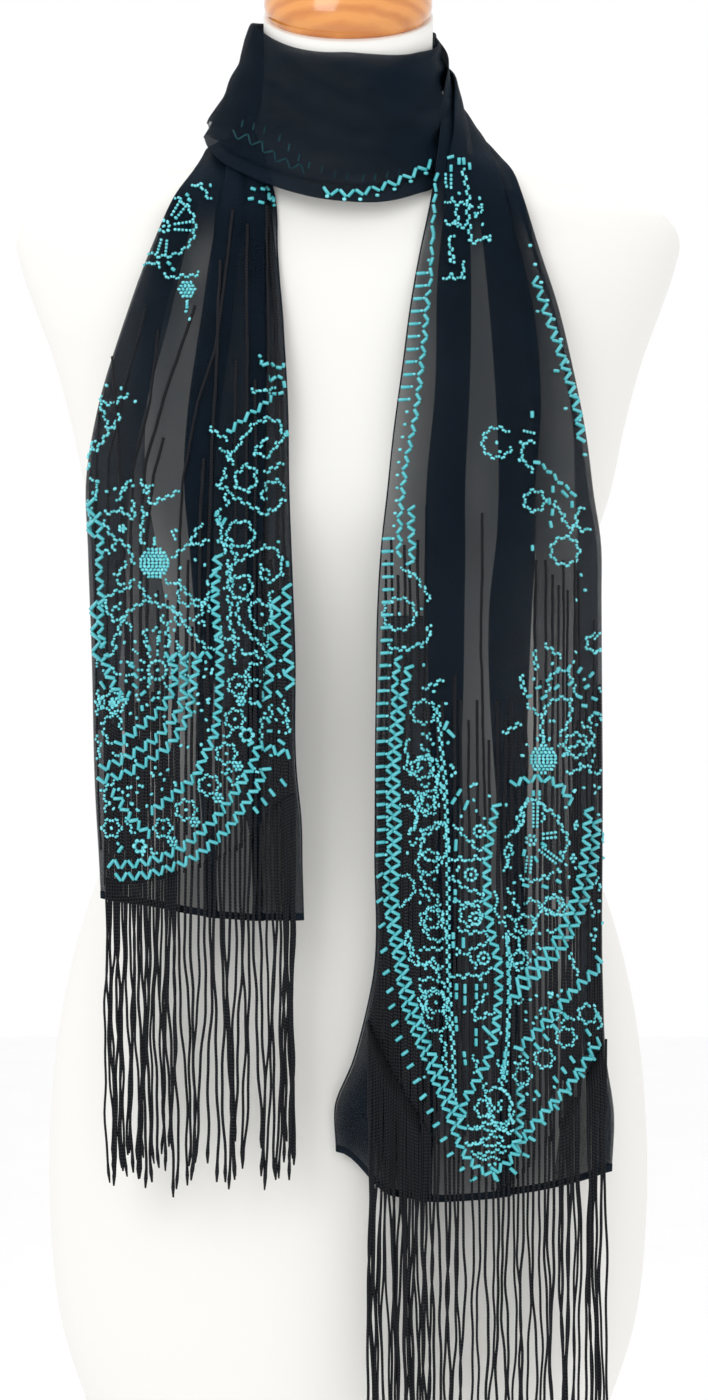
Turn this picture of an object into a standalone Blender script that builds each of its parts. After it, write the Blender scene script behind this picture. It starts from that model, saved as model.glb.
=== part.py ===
"""Beaded evening stole wound once round the neck of a limbless dress form.

Metres, +Z up, the wearer's front towards -Y, the floor at Z 0 under the middle of the round base.
The stole is one long strip of chiffon. From the hem of one tail it runs over the wearer's right
shoulder, behind the neck, across the throat, behind the neck again and down over the left shoulder.
Each stretch of it that shows is a wall of its own, folded as the cloth is.
"""
import math

import bpy
import numpy as np
from mathutils import Matrix, Vector

# The form and its stand
NECK_RADIUS = 0.0545
NECK_TOP_Z = 1.460
NECK_TILT = math.radians(22)
TORSO_SIDES = 32
TORSO_ROUNDNESS = 2.2
NECK_FROM_Z = 1.360
BUST_HEIGHT = 1.150
BUST_APART = 0.170
BUST_OUT = 0.022
BUST_REACH = 0.052
BASE_RADIUS = 0.190
BASE_THICK = 0.022
BASE_EDGE = 0.006
POLE_RADIUS = 0.0125
TORSO_BOTTOM_Z = 0.560
SEAT_GAP = 0.0003

# The cloth
WALL = 0.0010
LAYER = 0.0021
LAYER_AT_NECK = 0.0020
HANG_STEP = 0.035
CLIMB_STEP = 0.017
CLIMB_LENGTH = 0.150
SEAM_GAP = 0.0003
FOLD_TIP = 0.0011
BUST_LINE_X = 0.080

# The fringe
STRAND_WIDE = 0.0009
STRAND_DEEP = 0.0011
STRIP_TALL = 0.0035
FRINGE_GAP = 0.0003
RIGHT_SIDE_END_Z = 0.724
LEFT_SIDE_END_Z = 0.538

# Sections of the torso: height, half width, depth to the front, depth to the back
TORSO_COLUMNS = ("z", "wide", "front", "back")
TORSO = (
    (0.560, 0.170, 0.104, 0.120),
    (0.610, 0.186, 0.112, 0.134),
    (0.680, 0.194, 0.116, 0.141),
    (0.760, 0.193, 0.114, 0.139),
    (0.830, 0.184, 0.110, 0.131),
    (0.890, 0.168, 0.105, 0.119),
    (0.950, 0.143, 0.095, 0.102),
    (1.000, 0.130, 0.089, 0.091),
    (1.050, 0.135, 0.092, 0.090),
    (1.100, 0.150, 0.101, 0.096),
    (1.150, 0.168, 0.108, 0.104),
    (1.200, 0.179, 0.102, 0.108),
    (1.240, 0.190, 0.093, 0.108),
    (1.270, 0.2010, 0.086, 0.105),
    (1.298, 0.2105, 0.0790, 0.099),
    (1.316, 0.2135, 0.0730, 0.093),
    (1.327, 0.2085, 0.0700, 0.089),
    (1.334, 0.2005, 0.0680, 0.086),
    (1.340, 0.1830, 0.0660, 0.083),
    (1.347, 0.1563, 0.0638, 0.080),
    (1.3555, 0.1270, 0.0618, 0.076),
    (1.3625, 0.1020, 0.0602, 0.072),
    (1.3700, 0.0820, 0.0590, 0.0685),
    (1.3800, 0.0675, 0.0575, 0.0640),
    (1.3950, 0.0585, 0.0558, 0.0590),
    (1.4150, 0.0550, 0.0547, 0.0555),
    (1.4600, 0.0545, 0.0545, 0.0545),
)

# How far the hanging cloth stands in front of the form, above the bust line, by height
HANG_COLUMNS = ("z", "y")
HANG = (
    (0.560, -0.1370),
    (0.950, -0.1362),
    (1.100, -0.1345),
    (1.155, -0.1310),
    (1.205, -0.1200),
    (1.260, -0.0975),
    (1.305, -0.0800),
    (1.345, -0.0670),
)
CURL_IN = 1.5
CURL_OUT = 4.5

# Outline of the tail on the wearer's right: height, inner edge, outer edge, both from the middle
RIGHT_SIDE_COLUMNS = ("z", "inner", "outer")
RIGHT_SIDE = (
    (0.8870, -0.0290, -0.1500),
    (0.9180, -0.0300, -0.1512),
    (0.9535, -0.0308, -0.1530),
    (0.9820, -0.0335, -0.1545),
    (1.0570, -0.0341, -0.1570),
    (1.1190, -0.0360, -0.1602),
    (1.1600, -0.0372, -0.1620),
    (1.2033, -0.0378, -0.1556),
    (1.2573, -0.0409, -0.1407),
    (1.3056, -0.0446, -0.1240),
    (1.3400, -0.0462, -0.1090),
)
# Outline of the tail on the wearer's left
LEFT_SIDE_COLUMNS = ("z", "inner", "outer")
LEFT_SIDE = (
    (0.7240, -0.0100, 0.1640),
    (0.7600, -0.0105, 0.1655),
    (0.8028, 0.0030, 0.1600),
    (0.8524, 0.0155, 0.1581),
    (0.9330, 0.0167, 0.1581),
    (1.0260, 0.0174, 0.1575),
    (1.0880, 0.0186, 0.1569),
    (1.1246, 0.0211, 0.1562),
    (1.1519, 0.0242, 0.1519),
    (1.1878, 0.0279, 0.1476),
    (1.2374, 0.0347, 0.1383),
    (1.2697, 0.0391, 0.1308),
    (1.3044, 0.0453, 0.1200),
)
# Flat pleats of three layers in each tail, and the edge turned under, as shares of the width that shows
PLEAT_COLUMNS = ("z", "first", "first_wide", "second", "second_wide", "under")
RIGHT_SIDE_PLEATS = (
    (0.880, 0.22, 0.030, 0.440, 0.030, 0.10),
    (0.950, 0.21, 0.030, 0.440, 0.035, 0.11),
    (1.010, 0.20, 0.035, 0.435, 0.050, 0.13),
    (1.110, 0.18, 0.060, 0.430, 0.090, 0.20),
    (1.187, 0.16, 0.080, 0.430, 0.140, 0.25),
    (1.275, 0.16, 0.100, 0.405, 0.170, 0.30),
    (1.340, 0.16, 0.110, 0.415, 0.180, 0.28),
    (1.410, 0.17, 0.120, 0.430, 0.180, 0.26),
)
LEFT_SIDE_PLEATS = (
    (0.710, 0.330, 0.035, 0.600, 0.035, 0.08),
    (0.800, 0.330, 0.040, 0.600, 0.040, 0.10),
    (0.900, 0.325, 0.060, 0.600, 0.060, 0.13),
    (1.088, 0.297, 0.150, 0.580, 0.160, 0.13),
    (1.160, 0.285, 0.165, 0.620, 0.150, 0.09),
    (1.210, 0.300, 0.165, 0.645, 0.185, 0.06),
    (1.300, 0.290, 0.220, 0.680, 0.270, 0.07),
    (1.340, 0.290, 0.220, 0.670, 0.250, 0.08),
    (1.410, 0.290, 0.190, 0.650, 0.200, 0.10),
)
# Where each tail climbs over the shoulder and goes behind the neck, three points across it
CLIMB_COLUMNS = ("inner", "middle", "outer")
RIGHT_SIDE_CLIMB = (
    ((-0.0520, -0.0610, 1.3620), (-0.0740, -0.0560, 1.3580), (-0.0990, -0.0475, 1.3550)),
    ((-0.0600, -0.0350, 1.3850), (-0.0745, -0.0340, 1.3730), (-0.0935, -0.0300, 1.3650)),
    ((-0.0600, -0.0050, 1.3980), (-0.0725, -0.0100, 1.3835), (-0.0900, -0.0080, 1.3735)),
)
RIGHT_SIDE_TOP = ((0.0600, 1.4000), (0.0720, 1.3860), (0.0885, 1.3755))
LEFT_SIDE_CLIMB = (
    ((0.0530, -0.0715, 1.3430), (0.0790, -0.0690, 1.3425), (0.1092, -0.0640, 1.3415)),
    ((0.0572, -0.0655, 1.3626), (0.0770, -0.0620, 1.3590), (0.1040, -0.0500, 1.3560)),
    ((0.0610, -0.0580, 1.3800), (0.0775, -0.0490, 1.3710), (0.0965, -0.0330, 1.3660)),
    ((0.0640, -0.0370, 1.4050), (0.0745, -0.0250, 1.3880), (0.0880, -0.0150, 1.3765)),
    ((0.0640, -0.0080, 1.4330), (0.0690, 0.0020, 1.4030), (0.0800, 0.0050, 1.3830)),
)
LEFT_SIDE_TOP = ((0.0610, 1.4500), (0.0660, 1.4080), (0.0790, 1.3850))
RIGHT_SIDE_TOP_ANGLE = -111
LEFT_SIDE_TOP_ANGLE = 113

# The winding round the neck, by the angle from the front, positive towards the wearer's left:
# radius and height of the upper edge, the middle and the lower edge
WRAP_COLUMNS = ("angle", "r_top", "z_top", "r_middle", "z_middle", "r_low", "z_low")
BAND = (
    (-76, 0.0606, 1.4525, 0.0745, 1.4180, 0.0945, 1.3800),
    (-62, 0.0598, 1.4460, 0.0765, 1.4080, 0.0975, 1.3690),
    (-49, 0.0590, 1.4400, 0.0765, 1.3990, 0.0985, 1.3590),
    (-32, 0.0582, 1.4340, 0.0735, 1.3910, 0.0930, 1.3470),
    (-15, 0.0578, 1.4312, 0.0695, 1.3855, 0.0870, 1.3390),
    (0, 0.0577, 1.4310, 0.0675, 1.3840, 0.0830, 1.3362),
    (15, 0.0576, 1.4300, 0.0675, 1.3840, 0.0830, 1.3362),
    (32, 0.0575, 1.4300, 0.0690, 1.3880, 0.0840, 1.3421),
    (41, 0.0574, 1.4310, 0.0695, 1.3900, 0.0835, 1.3470),
    (50, 0.0573, 1.4330, 0.0685, 1.3960, 0.0815, 1.3640),
    (60, 0.0573, 1.4350, 0.0655, 1.4060, 0.0760, 1.3820),
    (74, 0.0573, 1.4380, 0.0605, 1.4110, 0.0665, 1.3920),
    (95, 0.0573, 1.4440, 0.0590, 1.4180, 0.0630, 1.4000),
)
NAPE = (
    (-76, 0.0606, 1.4525, 0.0745, 1.4180, 0.0945, 1.3800),
    (-95, 0.0606, 1.4560, 0.0720, 1.4200, 0.0920, 1.3850),
    (-115, 0.0602, 1.4580, 0.0700, 1.4220, 0.0940, 1.3840),
    (-145, 0.0598, 1.4610, 0.0680, 1.4200, 0.0900, 1.3760),
    (-180, 0.0596, 1.4630, 0.0675, 1.4180, 0.0880, 1.3700),
    (-215, 0.0598, 1.4610, 0.0675, 1.4160, 0.0860, 1.3750),
    (-245, 0.0610, 1.4520, 0.0660, 1.4100, 0.0800, 1.3870),
)
INNER_TURN = (
    (95, 0.0573, 1.4420, 0.0590, 1.4180, 0.0630, 1.4000),
    (125, 0.0566, 1.4480, 0.0590, 1.4160, 0.0670, 1.3930),
    (180, 0.0562, 1.4520, 0.0595, 1.4180, 0.0700, 1.3900),
    (225, 0.0560, 1.4440, 0.0600, 1.4130, 0.0720, 1.3880),
    (248, 0.0575, 1.4200, 0.0650, 1.4020, 0.0760, 1.3880),
)
# Sections of the winding, as (share down, layers out): folded double, and single
HAIRPIN = (
    (0.90, 1), (0.78, 1), (0.66, 1), (0.52, 1), (0.38, 1), (0.24, 1), (0.10, 1), (0.02, 0.95),
    (-0.005, 0.5), (0.02, 0.05), (0.16, 0), (0.36, 0), (0.58, 0), (0.80, 0), (1.0, 0),
)
SINGLE = ((0.0, 0), (0.2, 0), (0.4, 0), (0.6, 0), (0.8, 0), (1.0, 0))
SEAM_TURN = math.degrees(SEAM_GAP / 2 / 0.060)

# Line of the beaded border, under which the cords of the fringe leave the cloth: place across, height
RIGHT_SIDE_BORDER = (
    (-0.1505, 0.9140),
    (-0.1230, 0.9160),
    (-0.0920, 0.9250),
    (-0.0610, 0.9420),
    (-0.0420, 0.9640),
    (-0.0322, 0.9690),
)
LEFT_SIDE_BORDER = (
    (0.0120, 0.8280),
    (0.0220, 0.8060),
    (0.0340, 0.7850),
    (0.0530, 0.7570),
    (0.0700, 0.7400),
    (0.0945, 0.7240),
    (0.1190, 0.7480),
    (0.1380, 0.7720),
    (0.1500, 0.7940),
    (0.1610, 0.8150),
)
# Groups of strands: first and last place across at the roots, how many, how far the ends draw together
GROUP_COLUMNS = ("first", "last", "count", "draw")
RIGHT_SIDE_GROUPS = (
    (-0.1498, -0.1368, 9, 0.90),
    (-0.1350, -0.1262, 6, 0.95),
    (-0.1248, -0.1182, 4, 0.90),
    (-0.1165, -0.1060, 7, 0.90),
    (-0.1040, -0.0880, 5, 0.45),
    (-0.0852, -0.0815, 2, 0.90),
    (-0.0790, -0.0600, 7, 0.50),
    (-0.0570, -0.0470, 4, 0.60),
    (-0.0450, -0.0405, 3, 0.80),
    (-0.0390, -0.0330, 6, 0.90),
)
LEFT_SIDE_GROUPS = (
    (0.0128, 0.0228, 7, 0.95),
    (0.0245, 0.0505, 18, 0.95),
    (0.0535, 0.0560, 2, 0.90),
    (0.0600, 0.0710, 5, 0.75),
    (0.0765, 0.0900, 4, 0.60),
    (0.0930, 0.0995, 3, 0.70),
    (0.1025, 0.1115, 4, 0.90),
    (0.1150, 0.1225, 3, 0.70),
    (0.1250, 0.1275, 2, 0.90),
    (0.1320, 0.1435, 7, 0.90),
    (0.1490, 0.1605, 8, 0.92),
)
STRAND_LEVELS = (0.42, 1.0)

COLOURS = {
    "form": ((0.80, 0.79, 0.76, 1), 0.75, 0.0),
    "wood": ((0.62, 0.27, 0.08, 1), 0.25, 0.0),
    "steel": ((0.62, 0.62, 0.63, 1), 0.30, 1.0),
    "chiffon": ((0.010, 0.017, 0.026, 1), 0.60, 0.0),
    "cord": ((0.012, 0.013, 0.017, 1), 0.55, 0.0),
}


def smooth(at, places, values):
    """A curve through (places, values) with no corners, by cubic pieces with averaged slopes."""
    places, values = np.asarray(places, float), np.asarray(values, float)
    steps = np.diff(places)
    slopes = np.diff(values) / steps
    tangent = np.empty_like(values)
    tangent[1:-1] = (slopes[:-1] * steps[1:] + slopes[1:] * steps[:-1]) / (steps[:-1] + steps[1:])
    tangent[0], tangent[-1] = slopes[0], slopes[-1]
    at = np.clip(np.asarray(at, float), places[0], places[-1])
    i = np.clip(np.searchsorted(places, at, side="right") - 1, 0, len(steps) - 1)
    t = (at - places[i]) / steps[i]
    return (
        values[i] * (1 + 2 * t) * (1 - t) ** 2
        + steps[i] * tangent[i] * t * (1 - t) ** 2
        + values[i + 1] * t * t * (3 - 2 * t)
        + steps[i] * tangent[i + 1] * t * t * (t - 1)
    )


def column(table, names, name):
    return [row[names.index(name)] for row in table]


def ease(value, low, high):
    """0 below low, 1 above high and a smooth rise between."""
    t = np.clip((np.asarray(value, float) - low) / (high - low), 0, 1)
    return t * t * (3 - 2 * t)


def torso_section(z):
    """Half width, depth to the front and depth to the back of the form at height z."""
    heights = column(TORSO, TORSO_COLUMNS, "z")
    return [smooth(z, heights, column(TORSO, TORSO_COLUMNS, name)) for name in TORSO_COLUMNS[1:]]


def torso_point(turn, z):
    """Point of the form's surface at turn radians from +X, before the neck's top is tilted."""
    wide, front, back = torso_section(z)
    c, s = math.cos(turn), math.sin(turn)
    roundness = TORSO_ROUNDNESS + (2 - TORSO_ROUNDNESS) * float(ease(z, NECK_FROM_Z, NECK_FROM_Z + 0.03))
    power = 2 / roundness
    x = math.copysign(abs(c) ** power, c) * wide
    y = math.copysign(abs(s) ** power, s) * (back if s > 0 else front)
    if s < 0:
        for side in (-1, 1):
            away = ((x - side * BUST_APART / 2) ** 2 + (z - BUST_HEIGHT) ** 2) / BUST_REACH**2
            y -= BUST_OUT * math.exp(-away)
    lift = math.tan(NECK_TILT) * y * float(ease(z, 1.40, NECK_TOP_Z))
    return x, y, float(z) + lift


def mesh_object(name, points, faces, material):
    mesh = bpy.data.meshes.new(name)
    mesh.from_pydata([tuple(map(float, p)) for p in points], [], faces)
    mesh.update()
    obj = bpy.data.objects.new(name, mesh)
    parts.objects.link(obj)
    obj.data.materials.append(material)
    return obj


def shade_smooth(obj, degrees=40):
    obj.data.shade_smooth()
    obj.data.set_sharp_from_angle(angle=math.radians(degrees))


def make_material(name):
    colour, roughness, metallic = COLOURS[name]
    material = bpy.data.materials.new(name)
    material.use_nodes = True
    shader = material.node_tree.nodes["Principled BSDF"]
    shader.inputs["Base Color"].default_value = colour
    shader.inputs["Roughness"].default_value = roughness
    shader.inputs["Metallic"].default_value = metallic
    return material


def closed_loft(rings):
    """Points and faces of a solid through rings of equal length, lowest first, with flat ends."""
    sides = len(rings[0])
    points = [p for ring in rings for p in ring]
    faces = [tuple(reversed(range(sides)))]
    for r in range(len(rings) - 1):
        for s in range(sides):
            a, b = r * sides + s, r * sides + (s + 1) % sides
            faces.append((a, b, b + sides, a + sides))
    faces.append(tuple(range((len(rings) - 1) * sides, len(rings) * sides)))
    return points, faces


def turned(name, profile, steps, material):
    """A turned solid. profile is (radius, height) from the top's middle down the outside."""
    mesh = bpy.data.meshes.new(name)
    points = [(r, 0, z) for r, z in profile]
    mesh.from_pydata(points, [(i, i + 1) for i in range(len(points) - 1)], [])
    obj = bpy.data.objects.new(name, mesh)
    parts.objects.link(obj)
    screw = obj.modifiers.new("turn", "SCREW")
    screw.axis = "Z"
    screw.steps = screw.render_steps = steps
    screw.use_merge_vertices = True
    screw.merge_threshold = 0.00005
    screw.use_smooth_shade = True
    obj.data.materials.append(material)
    return obj


def make_torso():
    heights = column(TORSO, TORSO_COLUMNS, "z")
    turns = [2 * math.pi * i / TORSO_SIDES for i in range(TORSO_SIDES)]
    rings = [[torso_point(turn, z) for turn in turns] for z in heights]
    shade_smooth(mesh_object("form_torso", *closed_loft(rings), materials["form"]), 60)


def make_neck_cap():
    """The turned wooden cap, seated on the tilted top of the neck."""
    profile = (
        (0.0, 0.041),
        (0.018, 0.0395),
        (0.034, 0.0345),
        (0.0455, 0.0265),
        (0.0520, 0.0170),
        (0.0541, 0.0090),
        (0.0532, 0.0030),
        (0.0515, 0.0),
        (0.0, 0.0),
    )
    cap = turned("form_neck_cap", profile, 28, materials["wood"])
    seat = Vector((0, 0, SEAT_GAP))
    cap.matrix_world = Matrix.Translation((0, 0, NECK_TOP_Z)) @ Matrix.Rotation(NECK_TILT, 4, "X") @ (
        Matrix.Translation(seat)
    )


def make_stand():
    """A round wooden base and the steel pole that carries the form."""
    profile = (
        (0.0, BASE_THICK),
        (BASE_RADIUS - 0.030, BASE_THICK),
        (BASE_RADIUS - 0.010, BASE_THICK - 0.003),
        (BASE_RADIUS, BASE_THICK - 0.003 - BASE_EDGE),
        (BASE_RADIUS, BASE_EDGE * 0.4),
        (BASE_RADIUS - BASE_EDGE * 0.4, 0.0),
        (0.0, 0.0),
    )
    turned("stand_base", profile, 40, materials["wood"])
    low, high = BASE_THICK + SEAT_GAP, TORSO_BOTTOM_Z - SEAT_GAP
    bpy.ops.mesh.primitive_cylinder_add(
        vertices=20, radius=POLE_RADIUS, depth=high - low, location=(0, 0, (low + high) / 2)
    )
    pole = bpy.context.object
    pole.name = "stand_pole"
    for collection in list(pole.users_collection):
        collection.objects.unlink(pole)
    parts.objects.link(pole)
    pole.data.materials.append(materials["steel"])
    shade_smooth(pole)


def hang_depth(x, z):
    """Y of the hanging cloth: furthest forward on the bust line, and curling back to both sides."""
    y = smooth(z, column(HANG, HANG_COLUMNS, "z"), column(HANG, HANG_COLUMNS, "y"))
    off = np.abs(x) - BUST_LINE_X
    return y + CURL_IN * np.minimum(off, 0) ** 2 + CURL_OUT * np.maximum(off, 0) ** 2


def tail_profile(pleat, facing, turned_under, tip):
    """Columns of a pleated strip as (share across, layers up), from the inner to the outer edge.

    Two flat pleats of three layers, (middle, width) in shares, the first opening inwards and the
    second outwards, then the outer edge turned under."""
    l1, r1 = pleat[0] - pleat[1] / 2, pleat[0] + pleat[1] / 2
    l2, r2 = facing[0] - facing[1] / 2, facing[0] + facing[1] / 2
    under = 1 - turned_under
    m1, m2 = pleat[0], facing[0]
    return [
        (0.0, 0), (l1 / 2, 0), (l1, 0), (m1, 0), (r1, 0), (r1 + tip, 0.5), (r1, 1), (m1, 1), (l1, 1),
        (l1 - tip, 1.5), (l1, 2), (m1, 2), (r1, 2), ((r1 + l2) / 2, 1.3), (l2, 2), (m2, 2), (r2, 2),
        (r2 + tip, 1.5), (r2, 1), (m2, 1), (l2, 1), (l2 - tip, 0.5), (l2, 0), (m2, 0), (r2, 0),
        ((r2 + under) / 2, 0.35), (under, 1), (1 - turned_under / 2, 1), (1 - tip, 1), (1.0, 0.5),
        (1 - tip, 0), (1 - turned_under / 2, 0), (under + tip, 0),
    ]


def row_points(inner, middle, outer, share):
    """Points of the curve through three points at shares 0, a half and 1."""
    s = np.asarray(share, float)[:, None]
    inner, middle, outer = (np.asarray(p, float) for p in (inner, middle, outer))
    return inner * (1 - s) * (1 - 2 * s) + middle * 4 * s * (1 - s) + outer * s * (2 * s - 1)


def polar(angle, radius, z):
    """A point by its angle from the front, positive towards +X, and its distance from the neck's axis."""
    a = math.radians(angle)
    return radius * math.sin(a), -radius * math.cos(a), z


def tail_rows(outline, names, climb, top, top_angle):
    """(inner, middle, outer) points of each row of a tail, from its hem to behind the neck."""
    rows = []
    for z, inner, outer in outline:
        xs = (inner, (inner + outer) / 2, outer)
        rows.append([(x, float(hang_depth(x, z)), z) for x in xs])
    rows += [list(three) for three in climb]
    rows.append([polar(top_angle, r, z) for r, z in top])
    return np.array(rows)


def finer(rows):
    """The rows again on smooth curves, in long steps where the tail hangs and short ones above."""
    middle = rows[:, 1]
    along = np.concatenate([[0], np.cumsum(np.linalg.norm(np.diff(middle, axis=0), axis=1))])
    climb = along[-1] - CLIMB_LENGTH
    at = np.concatenate([
        np.linspace(0, climb, round(climb / HANG_STEP) + 1)[:-1],
        np.linspace(climb, along[-1], round(CLIMB_LENGTH / CLIMB_STEP) + 1),
    ])
    made = np.empty((len(at), 3, 3))
    for p in range(3):
        for axis in range(3):
            made[:, p, axis] = smooth(at, along, rows[:, p, axis])
    return made, at


def normals_of(grid, outward):
    """Unit normals of a grid of points, turned to the side that outward, a function of a point, names."""
    across = np.gradient(grid, axis=1)
    along = np.gradient(grid, axis=0)
    normal = np.cross(across, along)
    normal /= np.linalg.norm(normal, axis=2, keepdims=True)
    side = np.sign((normal * outward(grid)).sum(axis=2, keepdims=True))
    return normal * np.where(side == 0, 1, side)


def from_form(grid):
    """Directions away from the form: forwards on the chest, outwards and upwards at the neck."""
    away = grid.copy()
    away[..., 2] = 0
    away /= np.maximum(np.linalg.norm(away, axis=2, keepdims=True), 1e-9)
    away[..., 2] = 1.5 * ease(grid[..., 2], 1.33, 1.38)
    return away


def wall_faces(rows, columns):
    return [
        (r * columns + c, r * columns + c + 1, (r + 1) * columns + c + 1, (r + 1) * columns + c)
        for r in range(rows - 1)
        for c in range(columns - 1)
    ]


def cloth_wall(name, grid):
    """A wall of the cloth's thickness about a grid of points."""
    rows, columns = grid.shape[:2]
    obj = mesh_object(name, grid.reshape(-1, 3), wall_faces(rows, columns), materials["chiffon"])
    solid = obj.modifiers.new("thickness", "SOLIDIFY")
    solid.thickness = WALL
    solid.offset = 0
    shade_smooth(obj, 50)
    return obj


def tail_grid(rows, pleats, ripple, hem_dip):
    """Grid of a tail. pleats is its table, ripple the soft waves in front and hem_dip how far a
    share across hangs below its row."""
    made, at = finer(rows)
    heights = made[:, 1, 2]
    spacing = LAYER + (LAYER_AT_NECK - LAYER) * ease(heights, 1.31, 1.36)
    profiles = []
    for z, (inner, _, outer) in zip(heights, made):
        profiles.append(tail_profile(*folds_at(pleats, z), FOLD_TIP / np.linalg.norm(outer - inner)))
    shares = np.array([[p[0] for p in profile] for profile in profiles])
    layers = np.array([[p[1] for p in profile] for profile in profiles])
    places = np.linspace(0, 1, shares.shape[1])
    normal = normals_of(np.array([row_points(*three, places) for three in made]), from_form)
    grid = np.array([row_points(*three, share) for three, share in zip(made, shares)])
    for i, share in enumerate(shares):
        grid[i, :, 2] += hem_dip(share, at[i])
        lift = layers[i] * spacing[i] + ripple(share, at[i], heights[i])
        for axis in range(3):
            grid[i, :, axis] += np.interp(share, places, normal[i, :, axis]) * lift
    return grid


def folds_at(table, z):
    """The two pleats, as (middle, width), and the turned edge of a tail at a height, in shares across."""
    heights = column(table, PLEAT_COLUMNS, "z")
    first, first_wide, second, second_wide, under = (
        float(smooth(z, heights, column(table, PLEAT_COLUMNS, name))) for name in PLEAT_COLUMNS[1:]
    )
    return (first, first_wide), (second, second_wide), under


def right_side_ripple(share, along, z):
    """Soft waves of a few millimetres that deepen towards the hem."""
    depth = 0.0012 + 0.0022 * float(ease(z, 1.20, 0.95))
    return depth * (1 + np.sin(2 * math.pi * (2.2 * share + 0.15) + 1.5 * along / 0.3)) * (
        1 - float(ease(z, 1.30, 1.345))
    )


def left_side_ripple(share, along, z):
    """Soft waves, and the deeper flute where the inner corner of the hem flares out."""
    depth = 0.0012 + 0.0020 * float(ease(z, 1.20, 0.95))
    waves = depth * (1 + np.sin(2 * math.pi * (2.0 * share + 0.60) + 1.2 * along / 0.3)) * (
        1 - float(ease(z, 1.30, 1.345))
    )
    flare = 1 - float(ease(z, 0.75, 0.85))
    flute = -0.011 * flare * (1 - ease(share, 0.02, 0.24)) + 0.004 * flare * np.sin(math.pi * share) ** 2
    return waves + flute


def right_side_dip(share, along):
    """The hem hangs level at the inner side and rises to the outer one."""
    return (1 - ease(along, 0.0, 0.09)) * (0.004 + 0.017 * np.maximum(share - 0.25, 0) ** 1.2)


def left_side_dip(share, along):
    """The hem sags in its middle and lifts at the flared inner corner."""
    sag = -0.009 * np.sin(math.pi * np.clip(share, 0, 1)) ** 1.3
    return (1 - ease(along, 0.0, 0.10)) * (sag + 0.020 * (1 - ease(share, 0.0, 0.22)) + 0.006 * share)


def make_tails():
    right = tail_rows(
        RIGHT_SIDE, RIGHT_SIDE_COLUMNS, RIGHT_SIDE_CLIMB, RIGHT_SIDE_TOP, RIGHT_SIDE_TOP_ANGLE
    )
    left = tail_rows(LEFT_SIDE, LEFT_SIDE_COLUMNS, LEFT_SIDE_CLIMB, LEFT_SIDE_TOP, LEFT_SIDE_TOP_ANGLE)
    right_grid = tail_grid(right, RIGHT_SIDE_PLEATS, right_side_ripple, right_side_dip)
    left_grid = tail_grid(left, LEFT_SIDE_PLEATS, left_side_ripple, left_side_dip)
    cloth_wall("right_side_tail", right_grid)
    cloth_wall("left_side_tail", left_grid)
    return right_grid, left_grid


def wrap_grid(table, step, profile):
    """Grid of a stretch wound round the neck. profile is (share down, layers out) for each column."""
    angles = np.array(column(table, WRAP_COLUMNS, "angle"), float)
    turn = 1 if angles[-1] > angles[0] else -1
    first, last = angles[0] + turn * SEAM_TURN, angles[-1] - turn * SEAM_TURN
    count = max(3, round(abs(last - first) / step) + 1)
    at = np.linspace(first, last, count)
    values = {
        name: smooth(turn * at, turn * angles, column(table, WRAP_COLUMNS, name))
        for name in WRAP_COLUMNS[1:]
    }
    share = np.array([p[0] for p in profile])
    layer = np.array([p[1] for p in profile])
    rows = []
    for i, angle in enumerate(at):
        three = [
            (values["r_" + part][i], 0.0, values["z_" + part][i]) for part in ("top", "middle", "low")
        ]
        line = row_points(*three, share)
        out = np.gradient(row_points(*three, np.linspace(0, 1, 21)), axis=0)
        slope = np.array([np.interp(share, np.linspace(0, 1, 21), out[:, axis]) for axis in (0, 2)]).T
        slope /= np.linalg.norm(slope, axis=1, keepdims=True)
        away = np.stack([-slope[:, 1], slope[:, 0]], axis=1)
        crease = wrap_crease(share, angle) * (layer > 0.5)
        lift = layer * LAYER + crease
        r = line[:, 0] + away[:, 0] * lift
        z = line[:, 2] + away[:, 1] * lift
        rows.append([polar(angle, r[c], z[c]) for c in range(len(share))])
    return np.array(rows)


def wrap_crease(share, angle):
    """Height of the soft slanting rolls across the winding: two ridges that run down to one side."""
    fade = np.sin(math.pi * np.clip(share, 0, 1)) ** 1.5
    swoop = 0.0022 * np.exp(-(((share - 0.42 - 0.0035 * (angle - 10)) / 0.10) ** 2))
    lower = 0.0016 * np.exp(-(((share - 0.72 + 0.0025 * (angle + 10)) / 0.09) ** 2))
    return fade * (swoop + lower)


def make_winding():
    """The band across the throat, the wrap behind the neck and the first turn that they cover."""
    cloth_wall("neck_band", wrap_grid(BAND, 9, HAIRPIN))
    cloth_wall("nape_wrap", wrap_grid(NAPE, 10, HAIRPIN))
    cloth_wall("inner_turn", wrap_grid(INNER_TURN, 11, SINGLE))


def front_of(grid, border):
    """A smooth line across in front of all the cloth that hangs below the border, as (x, y) pairs."""
    xs = np.linspace(border[0][0], border[-1][0], 25)
    between = [grid[:, :-1] * (1 - t) + grid[:, 1:] * t for t in np.linspace(0, 1, 7)]
    points = np.concatenate(between).reshape(-1, 3)
    reach = 0.012
    found = []
    for x in xs:
        top = float(smooth(x, [p[0] for p in border], [p[1] for p in border])) + 0.015
        near = points[(np.abs(points[:, 0] - x) < reach) & (points[:, 2] < top + 0.02)]
        found.append(near[:, 1].min())
    found = np.array(found)
    return xs, np.minimum(found, np.convolve(np.pad(found, 2, "edge"), np.ones(5) / 5, "valid"))


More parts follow.
